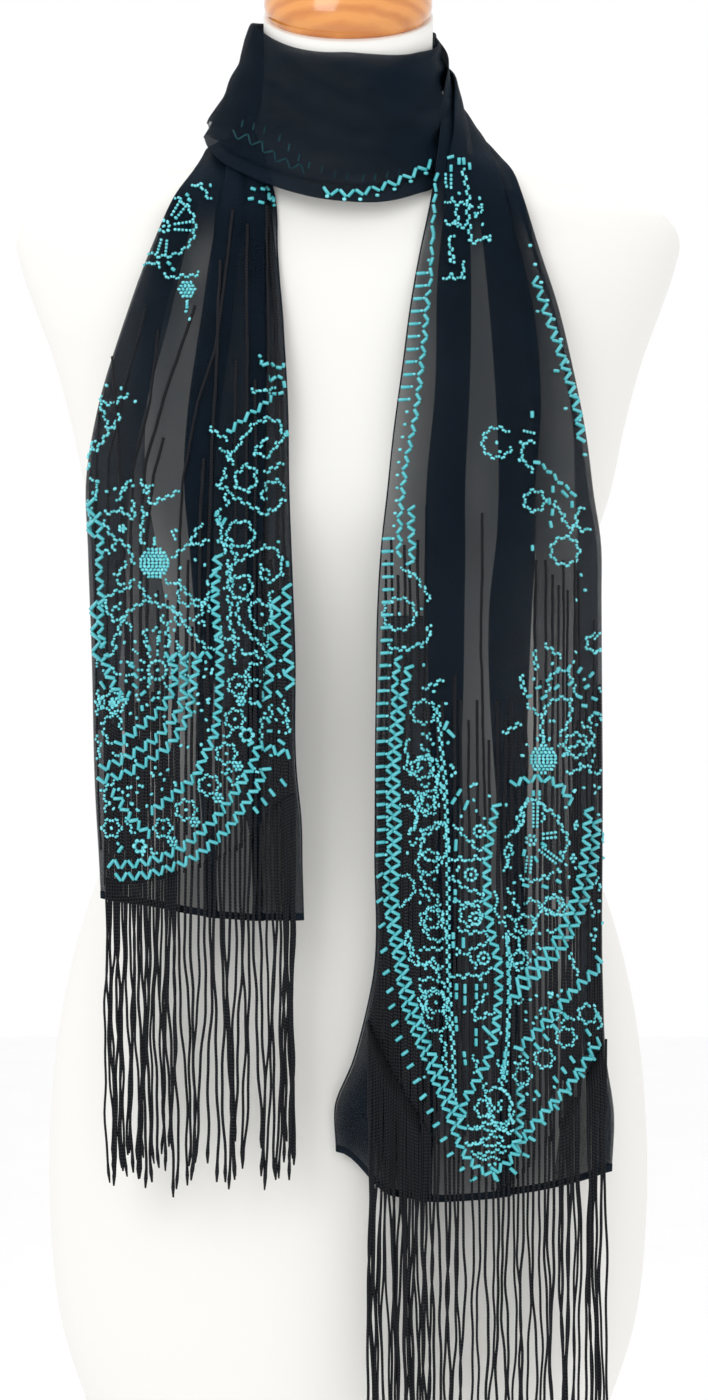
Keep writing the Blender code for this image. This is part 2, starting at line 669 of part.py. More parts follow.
def make_fringe(name, grid, border, groups, end_z):
    """The cords, fused at their roots into a narrow strip that follows the beaded border."""
    xs, ys = front_of(grid, border)
    border_x, border_z = [p[0] for p in border], [p[1] for p in border]
    edges, strands = [border_x[0]], []
    for first, last, count, draw in groups:
        roots = np.linspace(first, last, count)
        middle = (first + last) / 2
        for i, root in enumerate(roots):
            strands.append((root, middle + (root - middle) * draw, len(edges)))
            edges += [root - STRAND_WIDE / 2, root + STRAND_WIDE / 2]
    edges.append(border_x[-1])
    edges = np.array(edges)
    top = smooth(edges, border_x, border_z)
    back = np.interp(edges, xs, ys) - WALL / 2 - FRINGE_GAP
    points, faces = [], []
    for x, z, y in zip(edges, top, back):
        points += [
            (x, y, z), (x, y - STRAND_DEEP, z), (x, y - STRAND_DEEP, z - STRIP_TALL), (x, y, z - STRIP_TALL)
        ]
    hanging = {first for _, _, first in strands}
    for i in range(len(edges) - 1):
        a, b = 4 * i, 4 * (i + 1)
        faces += [(a, a + 1, b + 1, b), (a + 1, a + 2, b + 2, b + 1), (a + 3, a, b, b + 3)]
        if i not in hanging:
            faces.append((a + 2, a + 3, b + 3, b + 2))
    last = 4 * (len(edges) - 1)
    faces += [(0, 3, 2, 1), (last, last + 1, last + 2, last + 3)]
    for number, (root, end, i) in enumerate(strands):
        start_z = float(top[i]) - STRIP_TALL
        y = float(np.interp(root, xs, ys)) - WALL / 2 - FRINGE_GAP
        length = start_z - (end_z + 0.006 * math.sin(2.4 * number) + 0.004 * math.sin(0.7 * number))
        above = (4 * i + 2, 4 * i + 3, 4 * (i + 1) + 3, 4 * (i + 1) + 2)
        for level in STRAND_LEVELS:
            x = root + (end - root) * level**1.5
            z = start_z - length * level
            low = len(points)
            for dx, dy in ((-1, -STRAND_DEEP), (-1, 0), (1, 0), (1, -STRAND_DEEP)):
                points.append((x + dx * STRAND_WIDE / 2, y + dy, z))
            for k in range(4):
                faces.append((above[k], above[(k + 1) % 4], low + (k + 1) % 4, low + k))
            above = tuple(range(low, low + 4))
        faces.append(above)
    mesh_object(name, points, faces, materials["cord"])


def clear_scene():
    for obj in list(bpy.data.objects):
        bpy.data.objects.remove(obj)


clear_scene()
parts = bpy.data.collections.new("evening_stole_on_dress_form")
bpy.context.scene.collection.children.link(parts)
materials = {name: make_material(name) for name in COLOURS}
make_torso()
make_neck_cap()
make_stand()
right_tail_grid, left_tail_grid = make_tails()
make_winding()
make_fringe(
    "right_side_fringe", right_tail_grid, RIGHT_SIDE_BORDER, RIGHT_SIDE_GROUPS, RIGHT_SIDE_END_Z
)
make_fringe("left_side_fringe", left_tail_grid, LEFT_SIDE_BORDER, LEFT_SIDE_GROUPS, LEFT_SIDE_END_Z)
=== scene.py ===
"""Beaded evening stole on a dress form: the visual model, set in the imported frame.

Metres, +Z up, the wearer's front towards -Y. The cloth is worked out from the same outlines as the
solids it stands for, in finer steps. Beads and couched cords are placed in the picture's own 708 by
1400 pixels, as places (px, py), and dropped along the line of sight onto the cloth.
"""
import math

import bmesh
import bpy
import numpy as np
from mathutils import Matrix, Vector
from mathutils.bvhtree import BVHTree


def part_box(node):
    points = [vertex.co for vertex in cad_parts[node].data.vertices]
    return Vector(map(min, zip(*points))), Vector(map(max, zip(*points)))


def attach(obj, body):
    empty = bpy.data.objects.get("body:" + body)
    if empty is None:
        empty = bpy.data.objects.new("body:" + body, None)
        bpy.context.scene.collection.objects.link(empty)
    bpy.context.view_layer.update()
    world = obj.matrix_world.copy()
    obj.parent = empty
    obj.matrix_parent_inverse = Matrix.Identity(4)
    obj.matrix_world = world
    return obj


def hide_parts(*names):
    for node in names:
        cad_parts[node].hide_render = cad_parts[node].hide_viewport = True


bl_info = {
    "name": "Evening stole on dress form",
    "version": (1, 0, 0),
    "blender": (4, 5, 0),
    "location": "3D View > Sidebar > Stole",
    "description": "Builds a sheer beaded stole, its fringe, the dress form and the stage",
    "category": "Object",
}

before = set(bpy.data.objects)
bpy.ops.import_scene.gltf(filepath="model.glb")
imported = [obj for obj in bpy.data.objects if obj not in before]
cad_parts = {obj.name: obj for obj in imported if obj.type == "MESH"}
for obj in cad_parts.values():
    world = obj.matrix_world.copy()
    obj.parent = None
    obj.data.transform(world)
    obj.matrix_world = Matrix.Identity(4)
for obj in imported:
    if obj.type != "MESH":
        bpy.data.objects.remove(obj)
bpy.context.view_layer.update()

# The camera, and the size of the picture whose pixels place the beads
PICTURE_WIDE, PICTURE_TALL = 708, 1400
AIM = (0.0037, -0.12, 1.026)
DISTANCE = 2.6
ELEVATION = math.radians(3)
SENSOR = 0.036
LENS = 107.8

# The form
NECK_TOP_Z = 1.460
NECK_TILT = math.radians(22)
TORSO_ROUNDNESS = 2.2
NECK_FROM_Z, NECK_BLEND, TILT_FROM_Z = 1.360, 0.03, 1.40
BUST_HEIGHT, BUST_APART, BUST_OUT, BUST_REACH = 1.150, 0.170, 0.022, 0.052
CAP_RAISED = 0.0003
BODY_STEPS, CAP_STEPS, BASE_STEPS, POLE_STEPS = 112, 96, 128, 48
TORSO_COLUMNS = ("z", "wide", "front", "back")
TORSO = (
    (0.560, 0.170, 0.104, 0.120), (0.610, 0.186, 0.112, 0.134), (0.680, 0.194, 0.116, 0.141),
    (0.760, 0.193, 0.114, 0.139), (0.830, 0.184, 0.110, 0.131), (0.890, 0.168, 0.105, 0.119),
    (0.950, 0.143, 0.095, 0.102), (1.000, 0.130, 0.089, 0.091), (1.050, 0.135, 0.092, 0.090),
    (1.100, 0.150, 0.101, 0.096), (1.150, 0.168, 0.108, 0.104), (1.200, 0.179, 0.102, 0.108),
    (1.240, 0.190, 0.093, 0.108), (1.270, 0.2010, 0.086, 0.105), (1.298, 0.2105, 0.0790, 0.099),
    (1.316, 0.2135, 0.0730, 0.093), (1.327, 0.2085, 0.0700, 0.089), (1.334, 0.2005, 0.0680, 0.086),
    (1.340, 0.1830, 0.0660, 0.083), (1.347, 0.1563, 0.0638, 0.080), (1.3555, 0.1270, 0.0618, 0.076),
    (1.3625, 0.1020, 0.0602, 0.072), (1.3700, 0.0820, 0.0590, 0.0685), (1.3800, 0.0675, 0.0575, 0.0640),
    (1.3950, 0.0585, 0.0558, 0.0590), (1.4150, 0.0550, 0.0547, 0.0555), (1.4600, 0.0545, 0.0545, 0.0545),
)

# Hidden plies gathered behind the pleats: (z, from share, to share), and how many layers behind they lie
PLY_BEHIND = -0.38
RIGHT_SIDE_INNER_PLY = (
    (0.880, 0.000, 0.170), (0.960, 0.000, 0.270), (1.100, 0.000, 0.480), (1.200, 0.000, 0.510),
    (1.300, 0.000, 0.500), (1.342, 0.060, 0.580),
)
RIGHT_SIDE_OUTER_PLY = (
    (1.010, 0.640, 0.990), (1.060, 0.620, 0.991), (1.110, 0.660, 0.992), (1.200, 0.735, 0.992),
    (1.342, 0.740, 0.990),
)
LEFT_SIDE_INNER_PLY = (
    (0.715, 0.000, 0.330), (0.800, 0.000, 0.320), (0.900, 0.000, 0.300), (1.010, 0.010, 0.270),
    (1.075, 0.020, 0.200),
)
LEFT_SIDE_OUTER_PLY = (
    (0.905, 0.760, 0.985), (0.960, 0.720, 0.985), (1.035, 0.700, 0.985), (1.130, 0.690, 0.985),
    (1.210, 0.730, 0.985), (1.345, 0.780, 0.985),
)
LEFT_SIDE_HEM_PLY = (
    (0.715, 0.770, 0.992), (0.760, 0.790, 0.992), (0.830, 0.840, 0.992), (0.900, 0.910, 0.990),
)

# Spacing of the folded cloth and the curl of its fold edges
LAYER, LAYER_AT_NECK, FOLD_TIP = 0.0021, 0.0020, 0.0011
CLIMB_LENGTH = 0.150
HANG_STEP, CLIMB_STEP, WRAP_STEP = 0.006, 0.0045, 2.0
BUST_LINE_X = 0.080
CURL_IN, CURL_OUT = 1.5, 4.5
WAVE_DEPTH, CREASE_DEPTH = 0.0012, 0.0004
SAMPLES, PLY_POINTS, FOLD_POINTS = 41, 14, 30
HANG_COLUMNS = ("z", "y")
HANG = (
    (0.560, -0.1370), (0.950, -0.1362), (1.100, -0.1345), (1.155, -0.1310), (1.205, -0.1200),
    (1.260, -0.0975), (1.305, -0.0800), (1.345, -0.0670),
)

# Outlines of the two tails, as (z, inner x, outer x), and where they climb over the shoulders: the
# places of the inner edge, the middle and the outer edge
RIGHT_SIDE = (
    (0.8870, -0.0290, -0.1500), (0.9180, -0.0300, -0.1512), (0.9535, -0.0308, -0.1530),
    (0.9820, -0.0335, -0.1545), (1.0570, -0.0341, -0.1570), (1.1190, -0.0360, -0.1602),
    (1.1600, -0.0372, -0.1620), (1.2033, -0.0378, -0.1556), (1.2573, -0.0409, -0.1407),
    (1.3056, -0.0446, -0.1240), (1.3400, -0.0462, -0.1090),
)
LEFT_SIDE = (
    (0.7240, -0.0100, 0.1640), (0.7600, -0.0105, 0.1655), (0.8028, 0.0030, 0.1600),
    (0.8524, 0.0155, 0.1581), (0.9330, 0.0167, 0.1581), (1.0260, 0.0174, 0.1575), (1.0880, 0.0186, 0.1569),
    (1.1246, 0.0211, 0.1562), (1.1519, 0.0242, 0.1519), (1.1878, 0.0279, 0.1476), (1.2374, 0.0347, 0.1383),
    (1.2697, 0.0391, 0.1308), (1.3044, 0.0453, 0.1200),
)
PLEAT_COLUMNS = ("z", "first", "first_wide", "second", "second_wide", "under")
RIGHT_SIDE_PLEATS = (
    (0.880, 0.22, 0.030, 0.440, 0.030, 0.10), (0.950, 0.21, 0.030, 0.440, 0.035, 0.11),
    (1.010, 0.20, 0.035, 0.435, 0.050, 0.13), (1.110, 0.18, 0.060, 0.430, 0.090, 0.20),
    (1.187, 0.16, 0.080, 0.430, 0.140, 0.25), (1.275, 0.16, 0.100, 0.405, 0.170, 0.30),
    (1.340, 0.16, 0.110, 0.415, 0.180, 0.28), (1.410, 0.17, 0.120, 0.430, 0.180, 0.26),
)
LEFT_SIDE_PLEATS = (
    (0.710, 0.330, 0.035, 0.600, 0.035, 0.08), (0.800, 0.330, 0.040, 0.600, 0.040, 0.10),
    (0.900, 0.325, 0.060, 0.600, 0.060, 0.13), (1.088, 0.297, 0.150, 0.580, 0.160, 0.13),
    (1.160, 0.285, 0.165, 0.620, 0.150, 0.09), (1.210, 0.300, 0.165, 0.655, 0.215, 0.06),
    (1.300, 0.290, 0.220, 0.680, 0.270, 0.07), (1.340, 0.290, 0.220, 0.670, 0.250, 0.08),
    (1.410, 0.290, 0.190, 0.650, 0.200, 0.10),
)
RIGHT_SIDE_CLIMB = (
    ((-0.0520, -0.0610, 1.3620), (-0.0740, -0.0560, 1.3580), (-0.0990, -0.0475, 1.3550)),
    ((-0.0600, -0.0350, 1.3850), (-0.0745, -0.0340, 1.3730), (-0.0935, -0.0300, 1.3650)),
    ((-0.0600, -0.0050, 1.3980), (-0.0725, -0.0100, 1.3835), (-0.0900, -0.0080, 1.3735)),
)
RIGHT_SIDE_TOP = ((0.0600, 1.4000), (0.0720, 1.3860), (0.0885, 1.3755))
LEFT_SIDE_CLIMB = (
    ((0.0530, -0.0715, 1.3430), (0.0790, -0.0690, 1.3425), (0.1092, -0.0640, 1.3415)),
    ((0.0560, -0.0655, 1.3626), (0.0770, -0.0620, 1.3590), (0.1040, -0.0500, 1.3560)),
    ((0.0581, -0.0580, 1.3800), (0.0775, -0.0490, 1.3710), (0.0965, -0.0330, 1.3660)),
    ((0.0605, -0.0370, 1.4050), (0.0745, -0.0250, 1.3880), (0.0880, -0.0150, 1.3765)),
    ((0.0640, -0.0080, 1.4330), (0.0690, 0.0020, 1.4030), (0.0800, 0.0050, 1.3830)),
)
LEFT_SIDE_TOP = ((0.0610, 1.4500), (0.0660, 1.4080), (0.0790, 1.3850))
RIGHT_SIDE_TOP_ANGLE, LEFT_SIDE_TOP_ANGLE = -111, 113

# The winding, by the angle from the front, positive towards the wearer's left
WRAP_COLUMNS = ("angle", "r_top", "z_top", "r_middle", "z_middle", "r_low", "z_low")
BAND = (
    (-76, 0.0606, 1.4525, 0.0745, 1.4180, 0.0945, 1.3800),
    (-62, 0.0598, 1.4460, 0.0765, 1.4080, 0.0975, 1.3690),
    (-49, 0.0590, 1.4400, 0.0765, 1.3990, 0.0985, 1.3590),
    (-32, 0.0582, 1.4340, 0.0735, 1.3910, 0.0930, 1.3470),
    (-15, 0.0578, 1.4312, 0.0695, 1.3855, 0.0870, 1.3390),
    (0, 0.0577, 1.4310, 0.0675, 1.3840, 0.0830, 1.3362),
    (15, 0.0576, 1.4300, 0.0675, 1.3840, 0.0830, 1.3362),
    (32, 0.0575, 1.4300, 0.0690, 1.3880, 0.0840, 1.3421),
    (41, 0.0574, 1.4310, 0.0695, 1.3900, 0.0835, 1.3470),
    (50, 0.0573, 1.4330, 0.0685, 1.3960, 0.0815, 1.3640),
    (60, 0.0573, 1.4350, 0.0655, 1.4060, 0.0760, 1.3820),
    (74, 0.0573, 1.4380, 0.0605, 1.4110, 0.0665, 1.3920),
    (95, 0.0573, 1.4440, 0.0590, 1.4180, 0.0630, 1.4000),
)
NAPE = (
    BAND[0],
    (-95, 0.0606, 1.4560, 0.0720, 1.4200, 0.0920, 1.3850),
    (-115, 0.0602, 1.4580, 0.0700, 1.4220, 0.0940, 1.3840),
    (-145, 0.0598, 1.4610, 0.0680, 1.4200, 0.0900, 1.3760),
    (-180, 0.0596, 1.4630, 0.0675, 1.4180, 0.0880, 1.3700),
    (-215, 0.0598, 1.4610, 0.0675, 1.4160, 0.0860, 1.3750),
    (-245, 0.0610, 1.4520, 0.0660, 1.4100, 0.0800, 1.3870),
)
INNER_TURN = (
    (95, 0.0573, 1.4420, 0.0590, 1.4180, 0.0630, 1.4000),
    (125, 0.0566, 1.4480, 0.0590, 1.4160, 0.0670, 1.3930),
    (180, 0.0562, 1.4520, 0.0595, 1.4180, 0.0700, 1.3900),
    (225, 0.0560, 1.4440, 0.0600, 1.4130, 0.0720, 1.3880),
    (248, 0.0575, 1.4200, 0.0650, 1.4020, 0.0760, 1.3880),
)
SEAM_TURN = 0.14

# The line where the cords leave the cloth, as (x, z), and the bunches that they hang in, as (first x,
# last x, count, how far they keep their places)
RIGHT_SIDE_BORDER = (
    (-0.1505, 0.9140), (-0.1230, 0.9160), (-0.0920, 0.9250), (-0.0610, 0.9420), (-0.0420, 0.9640),
    (-0.0322, 0.9690),
)
LEFT_SIDE_BORDER = (
    (0.0120, 0.8280), (0.0220, 0.8060), (0.0340, 0.7850), (0.0530, 0.7570), (0.0700, 0.7400),
    (0.0945, 0.7240), (0.1190, 0.7480), (0.1380, 0.7720), (0.1500, 0.7940), (0.1610, 0.8150),
)
RIGHT_SIDE_GROUPS = (
    (-0.1498, -0.1368, 9, 0.90), (-0.1350, -0.1262, 6, 0.95), (-0.1248, -0.1182, 4, 0.90),
    (-0.1165, -0.1060, 7, 0.90), (-0.1040, -0.0880, 5, 0.45), (-0.0852, -0.0815, 2, 0.90),
    (-0.0790, -0.0600, 7, 0.50), (-0.0570, -0.0470, 4, 0.60), (-0.0450, -0.0405, 3, 0.80),
    (-0.0390, -0.0330, 6, 0.90),
)
LEFT_SIDE_GROUPS = (
    (0.0128, 0.0228, 7, 0.95), (0.0245, 0.0505, 18, 0.95), (0.0535, 0.0560, 2, 0.90),
    (0.0600, 0.0710, 5, 0.75), (0.0765, 0.0900, 4, 0.60), (0.0930, 0.0995, 3, 0.70),
    (0.1025, 0.1115, 4, 0.90), (0.1150, 0.1225, 3, 0.70), (0.1250, 0.1275, 2, 0.90),
    (0.1320, 0.1435, 7, 0.90), (0.1490, 0.1605, 8, 0.92),
)
RIGHT_SIDE_END_Z, LEFT_SIDE_END_Z = 0.724, 0.538

# Beadwork of the shorter tail. Places are (px, py); radii, swings and steps are metres
RIGHT_SIDE_BEADS = {
    "zigzag": (
        (0.0050, 0.0056, ((91, 497), (92, 520), (91, 560), (94, 600), (96, 640), (98, 662))),
        (0.0042, 0.0040, ((98, 512), (101, 540), (99, 568), (102, 598), (100, 625), (104, 648))),
        (0.0052, 0.0036, ((219, 553), (216, 575), (215, 600), (217, 625), (220, 648.5), (220, 678),
                          (218.8, 702), (215, 734), (204, 756), (196.8, 775.5), (179.7, 790), (165, 802),
                          (150, 812))),
        (0.0052, 0.0036, ((259, 744), (252, 766), (240, 786), (229, 799), (219, 814), (202, 832),
                          (182, 848), (168, 855), (153, 860), (138, 863.4), (123.5, 864.6), (108, 863))),
        (0.0052, 0.0036, ((268, 766), (262, 777), (250, 797), (240, 812), (228, 828), (211, 844),
                          (196.8, 856), (179.7, 864.6), (165, 869.5), (148, 875), (131, 876), (115, 877))),
        (0.0056, 0.0046, ((287, 583), (286, 610), (286, 640), (289, 665), (290, 690))),
        (0.0056, 0.0046, ((276, 596), (276, 625), (272, 650), (269, 680), (266, 702))),
        (0.0052, 0.0038, ((170, 655), (176, 673), (173, 690), (163.8, 707), (147.9, 720.6), (132, 734),
                          (116, 745))),
        (0.0052, 0.0038, ((185, 654), (184, 675), (184.6, 695), (176, 717), (157.7, 737.7), (139.4, 750),
                          (118.6, 762), (100, 768))),
        (0.0052, 0.0038, ((198, 658), (194, 678), (192, 698), (187, 719.4), (168.7, 747.4), (150.4, 759.6),
                          (128.4, 773), (109, 778), (98, 781))),
        (0.0044, 0.0036, ((164, 655), (180, 657), (196, 655), (212, 655))),
        (0.0052, 0.0038, ((259, 744), (268, 748), (277.4, 751), (291, 755))),
        (0.0050, 0.0038, ((112, 790), (120, 800), (128, 815), (140, 826), (152, 836))),
        (0.0050, 0.0038, ((104, 655), (108, 672), (116, 690), (127, 702))),
    ),
    "bugle": (
        ((258, 355), (262, 359), (261, 366), (270, 363), (275, 368), (283, 369), (284, 362)),
        ((267.6, 374), (268.8, 382), (277, 376), (283.5, 380), (285, 389)),
        ((284.7, 392.7), (277.4, 395), (271, 394), (270, 403.7), (261.5, 402), (257.8, 413.5), (249, 411),
          (244, 423), (236, 421), (233, 433), (225, 430)),
        ((217, 510), (215, 518), (221, 526), (226, 517)), ((249.6, 188), (257, 190)),
        ((259, 189), (266, 190)), ((247, 200), (255, 199)), ((257, 202), (265, 204)),
        ((265, 186), (269.7, 192), (267.5, 201), (274, 197), (273, 204), (275, 208)),
        ((167, 262), (172, 266)), ((171, 268), (176, 272)), ((185, 193.5), (190, 197)),
        ((187, 198), (192, 202)), ((217, 555), (212, 562)), ((218, 570), (209, 578)),
        ((219, 588), (210, 592)), ((133, 672), (139, 679)), ((132, 683), (139, 689)),
        ((140, 696), (147, 690)), ((151, 702), (156, 696)), ((148, 644), (151, 652)),
        ((159, 634), (160, 643)), ((150, 676), (149, 684)), ((128, 664), (136, 668)),
        ((103, 655), (112, 656)), ((100, 680), (106, 690)), ((142, 704), (143, 712)),
        ((131, 690), (127, 698)), ((276, 690), (283, 698)), ((277, 707), (284, 715)),
        ((266, 716), (271, 724)), ((255, 741), (247, 746)), ((269, 788), (276, 797)),
        ((280, 778), (287, 787)), ((261, 797), (268, 806)), ((253, 806), (259, 814)),
        ((266, 731), (274, 731)), ((277, 739), (286, 745)), ((283, 668), (286, 677)),
        ((262, 690), (263, 699)), ((226, 776), (232, 783)), ((256, 700), (262, 708)),
        ((118, 853), (124, 845)), ((112, 700), (116, 708)), ((286, 430), (288, 438)),
        ((287, 560), (288, 568)),
    ),
    "seed": (
        ((191.6, 187), (201.7, 184.6), (206, 196), (211, 201)), ((171.5, 217), (181, 201)),
        ((176, 220), (187, 206)), ((174, 225), (192, 222)), ((174, 230), (192, 231)),
        ((162.6, 239), (158, 255)), ((168, 240), (166, 257)), ((158, 214), (151, 206)),
        ((154, 219), (146, 214)), ((147, 254), (144.7, 248), (149, 239), (153.7, 233.7)),
        ((163.7, 275), (173, 279), (183, 276), (193.8, 277), (200, 272.8)),
        ((140, 262), (148, 266), (156, 262), (162, 268)),
        ((250.5, 390), (257, 394), (262.7, 389), (268, 394), (275, 387)),
        ((101, 396), (104, 404), (113, 405), (120, 400), (130, 395)),
        ((101, 404), (106, 417), (109, 430), (114, 430), (119, 420), (121, 414)),
        ((113, 426), (106, 438), (99, 449), (89, 453)), ((96, 440), (88, 456), (90, 470)),
        ((91, 480), (97, 479), (100, 487), (93, 494), (99, 500)),
        ((88, 500), (92, 512), (90, 528), (95, 538)), ((140, 480), (146, 487), (145, 496), (153, 484)),
        ((148, 498), (153, 506), (160, 499), (170, 497), (180, 490)),
        ((105, 512), (113, 514), (121, 508), (128, 516), (136, 520), (133, 508), (134, 500)),
        ((104, 520), (108, 528), (113, 537), (121, 541), (129, 547), (132, 556), (134, 565)),
        ((141, 507), (147, 514), (141, 523), (144, 533), (139, 537), (145, 545)),
        ((173, 559), (181, 550), (190, 545), (194, 537), (199, 526), (204, 525)),
        ((190, 541), (199, 546), (209, 539)), ((172, 530), (177, 541)), ((175, 529), (179, 532)),
        ((165, 580), (173, 585), (180, 580), (185, 590), (192, 598), (200, 602), (207, 600)),
        ((134, 578), (128, 590), (118, 590.5), (108, 597), (103, 605), (110, 612), (113, 620), (122, 622),
          (126, 616)),
        ((139, 582), (144, 592), (150, 600), (160, 606), (172, 606), (180, 614), (186, 622)),
        ((150, 600), (140, 604), (130, 610), (120, 622), (120, 634), (112, 640), (118, 650), (108, 656)),
        ((172, 606), (178, 615), (176, 625), (186, 622), (191, 632), (200, 640), (208, 650), (214, 648)),
        ((181, 588), (178, 598), (185, 606), (196, 604), (205, 607), (200, 617), (190, 620)),
        ((147, 628), (143, 636), (149, 641)), ((152, 632), (158, 626)),
        ((171, 620), (167, 632), (172, 642), (166, 648)), ((176, 642), (184, 646), (178, 650)),
        ((103, 672), (112, 668), (121, 676)), ((101.5, 725), (112.5, 714), (121, 716), (120.7, 730)),
        ((104, 728), (107, 738), (112.5, 745)), ((218.8, 450), (226, 450), (228.5, 458.6), (234.6, 464.8)),
        ((223.6, 468.4), (226, 474.5), (222.4, 480.6), (216.3, 486.7)),
        ((216.3, 486.7), (229, 489), (231, 496.5), (240, 500), (250, 506), (260, 511), (264, 517),
          (271, 509), (278, 510), (279, 502), (286, 499)),
        ((219, 508), (218, 522), (222, 532), (218, 542), (226, 547), (222, 556)),
        ((224, 540), (231, 550), (238, 556), (233, 566), (226, 570), (230, 580), (224, 590)),
        ((238, 562), (246, 556), (256, 553)), ((226, 596), (232, 606), (228, 618), (231, 630), (238, 640)),
        ((226, 560), (232, 572), (228, 584)),
        ((240, 600), (236, 612), (240, 624), (248, 634), (256, 640), (264, 646)),
        ((272, 590), (268, 600), (274, 610), (270, 622)), ((262, 630), (270, 640), (262, 650), (270, 658)),
        ((224, 640), (232, 636), (238, 646), (230, 656), (236, 664)),
        ((240, 650), (248, 656), (254, 650), (262, 660)), ((216, 640), (222, 634), (219, 626)),
        ((212, 590), (205, 600), (210, 612)), ((283, 700), (288, 712), (284, 724)),
        ((286, 735), (290, 728), (287, 720)), ((98, 690), (103, 703), (97, 715)),
        ((97, 735), (102, 748), (98, 760)), ((104, 795), (110, 803), (105, 812)), ((100, 640), (106, 648)),
        ((99, 655), (98, 668)),
    ),
    "line": (
        ((228.5, 462), (228.5, 457.4), (234.6, 450), (240.7, 445), (242, 436.7), (250.5, 433),
          (250.5, 425.7), (257.8, 422), (264, 422), (266.4, 414.7), (271, 422), (277.4, 420.8), (282, 423),
          (279.8, 430.6), (284.7, 435.4), (283.5, 441.6), (276, 442.8), (277.4, 450), (271, 449),
          (271, 455), (265, 459.9), (262.7, 453.8), (253, 455), (255.4, 447.7), (261.5, 446.4),
          (262.7, 439), (268.8, 439)),
        ((245.6, 463.5), (250.5, 469.6), (257.8, 468.4), (254, 477), (257.8, 484.3), (250.5, 486.7),
          (248, 494), (242, 488), (234.6, 489), (237, 480.6), (233.4, 473.3), (240.7, 472),
          (245.6, 463.5)),
        ((284.7, 491.6), (282, 484.3), (277.4, 479.4), (272.5, 484.3), (265, 480.6), (266.4, 489),
          (259, 496.5), (267.6, 500)),
        ((234.6, 521), (242, 523.4), (248, 519.7), (250.5, 528), (256.6, 535.6), (250.5, 540.5),
          (248, 547.8), (240.7, 545.3), (233.4, 547.8), (231, 538), (224.9, 538), (228.5, 528),
          (234.6, 521)),
        ((250.5, 551.4), (260.3, 551.4), (262.7, 544), (268.8, 549), (277.4, 547.8), (277.4, 555),
          (283.5, 558.8), (279.8, 567.3), (283.5, 574.6), (275, 577), (271, 584.4), (266.4, 579.5),
          (259, 577), (261.5, 571)),
        ((233.4, 575.9), (239.5, 578.3), (248, 573.4), (250.5, 582), (254, 589.3), (248, 594), (248, 602),
          (240.7, 596.6), (234.6, 599), (229.7, 589.3), (233.4, 583), (233.4, 575.9)),
        ((250.5, 604), (260.3, 599), (264, 606.4), (272.5, 604), (270, 612), (272, 622), (265, 626),
          (258, 630), (254, 622), (249, 614), (250.5, 604)),
    ),
    "star": (
        (164.4, 226.6, 0.0200, 0, 360), (112.5, 828, 0.0068, 0, 360), (163.8, 828, 0.0070, 0, 360),
        (187, 809.7, 0.0074, 0, 360), (209, 785, 0.0074, 0, 360), (226, 753.5, 0.0076, 0, 360),
        (234.6, 719, 0.0074, 0, 360), (238, 685, 0.0076, 0, 360), (115, 702, 0.0078, 0, 360),
        (140, 846, 0.0050, 0, 360), (247, 735, 0.0052, 0, 360), (256, 672, 0.0070, 0, 360),
    ),
    "ring": (
        (158, 670, 0.0058), (123, 528.7, 0.0018), (164.4, 226.6, 0.0034), (115, 702, 0.0024),
    ),
    "disc": (
        (187, 290, 0.0056, 302), (155, 563, 0.0098, 550), (173.6, 841.5, 0.0036, 0),
        (195.6, 822, 0.0036, 0), (217.5, 798, 0.0036, 0), (238, 766, 0.0036, 0), (241, 701, 0.0030, 0),
        (143, 851, 0.0026, 0), (113, 704, 0.0022, 0), (99, 702, 0.0026, 0),
    ),
    "ray": (
        (158, 670, 0.0084, 0.0130, -150, 150, 11), (158, 670, 0.0150, 0.0205, -100, 100, 9),
    ),
    "dot": (
        (210.6, 185.7), (176, 218), (106.8, 385.5), (122.4, 389), (135.8, 402), (133.6, 486), (123.5, 488),
        (115.7, 489), (106.8, 491.5), (190, 320), (186, 312), (112.5, 828), (163.8, 828), (187, 809.7),
        (209, 785), (226, 753.5), (234.6, 719), (238, 685), (205, 565), (196, 560), (189, 631),
    ),
    "field": (
        (176, 655, 216, 760, 30), (136, 764, 180, 795, 16), (118, 640, 170, 720, 44),
        (100, 735, 140, 800, 18), (224, 650, 282, 760, 34), (104, 575, 210, 640, 14),
        (225, 540, 285, 640, 16), (102, 800, 150, 850, 22), (150, 560, 205, 620, 6),
    ),
    "worm": (
        (222, 600, 282, 720, 38), (100, 500, 150, 640, 28), (100, 690, 130, 800, 16),
        (104, 795, 160, 850, 16), (225, 440, 283, 600, 20), (150, 600, 212, 650, 14),
        (220, 720, 262, 790, 16),
    ),
}

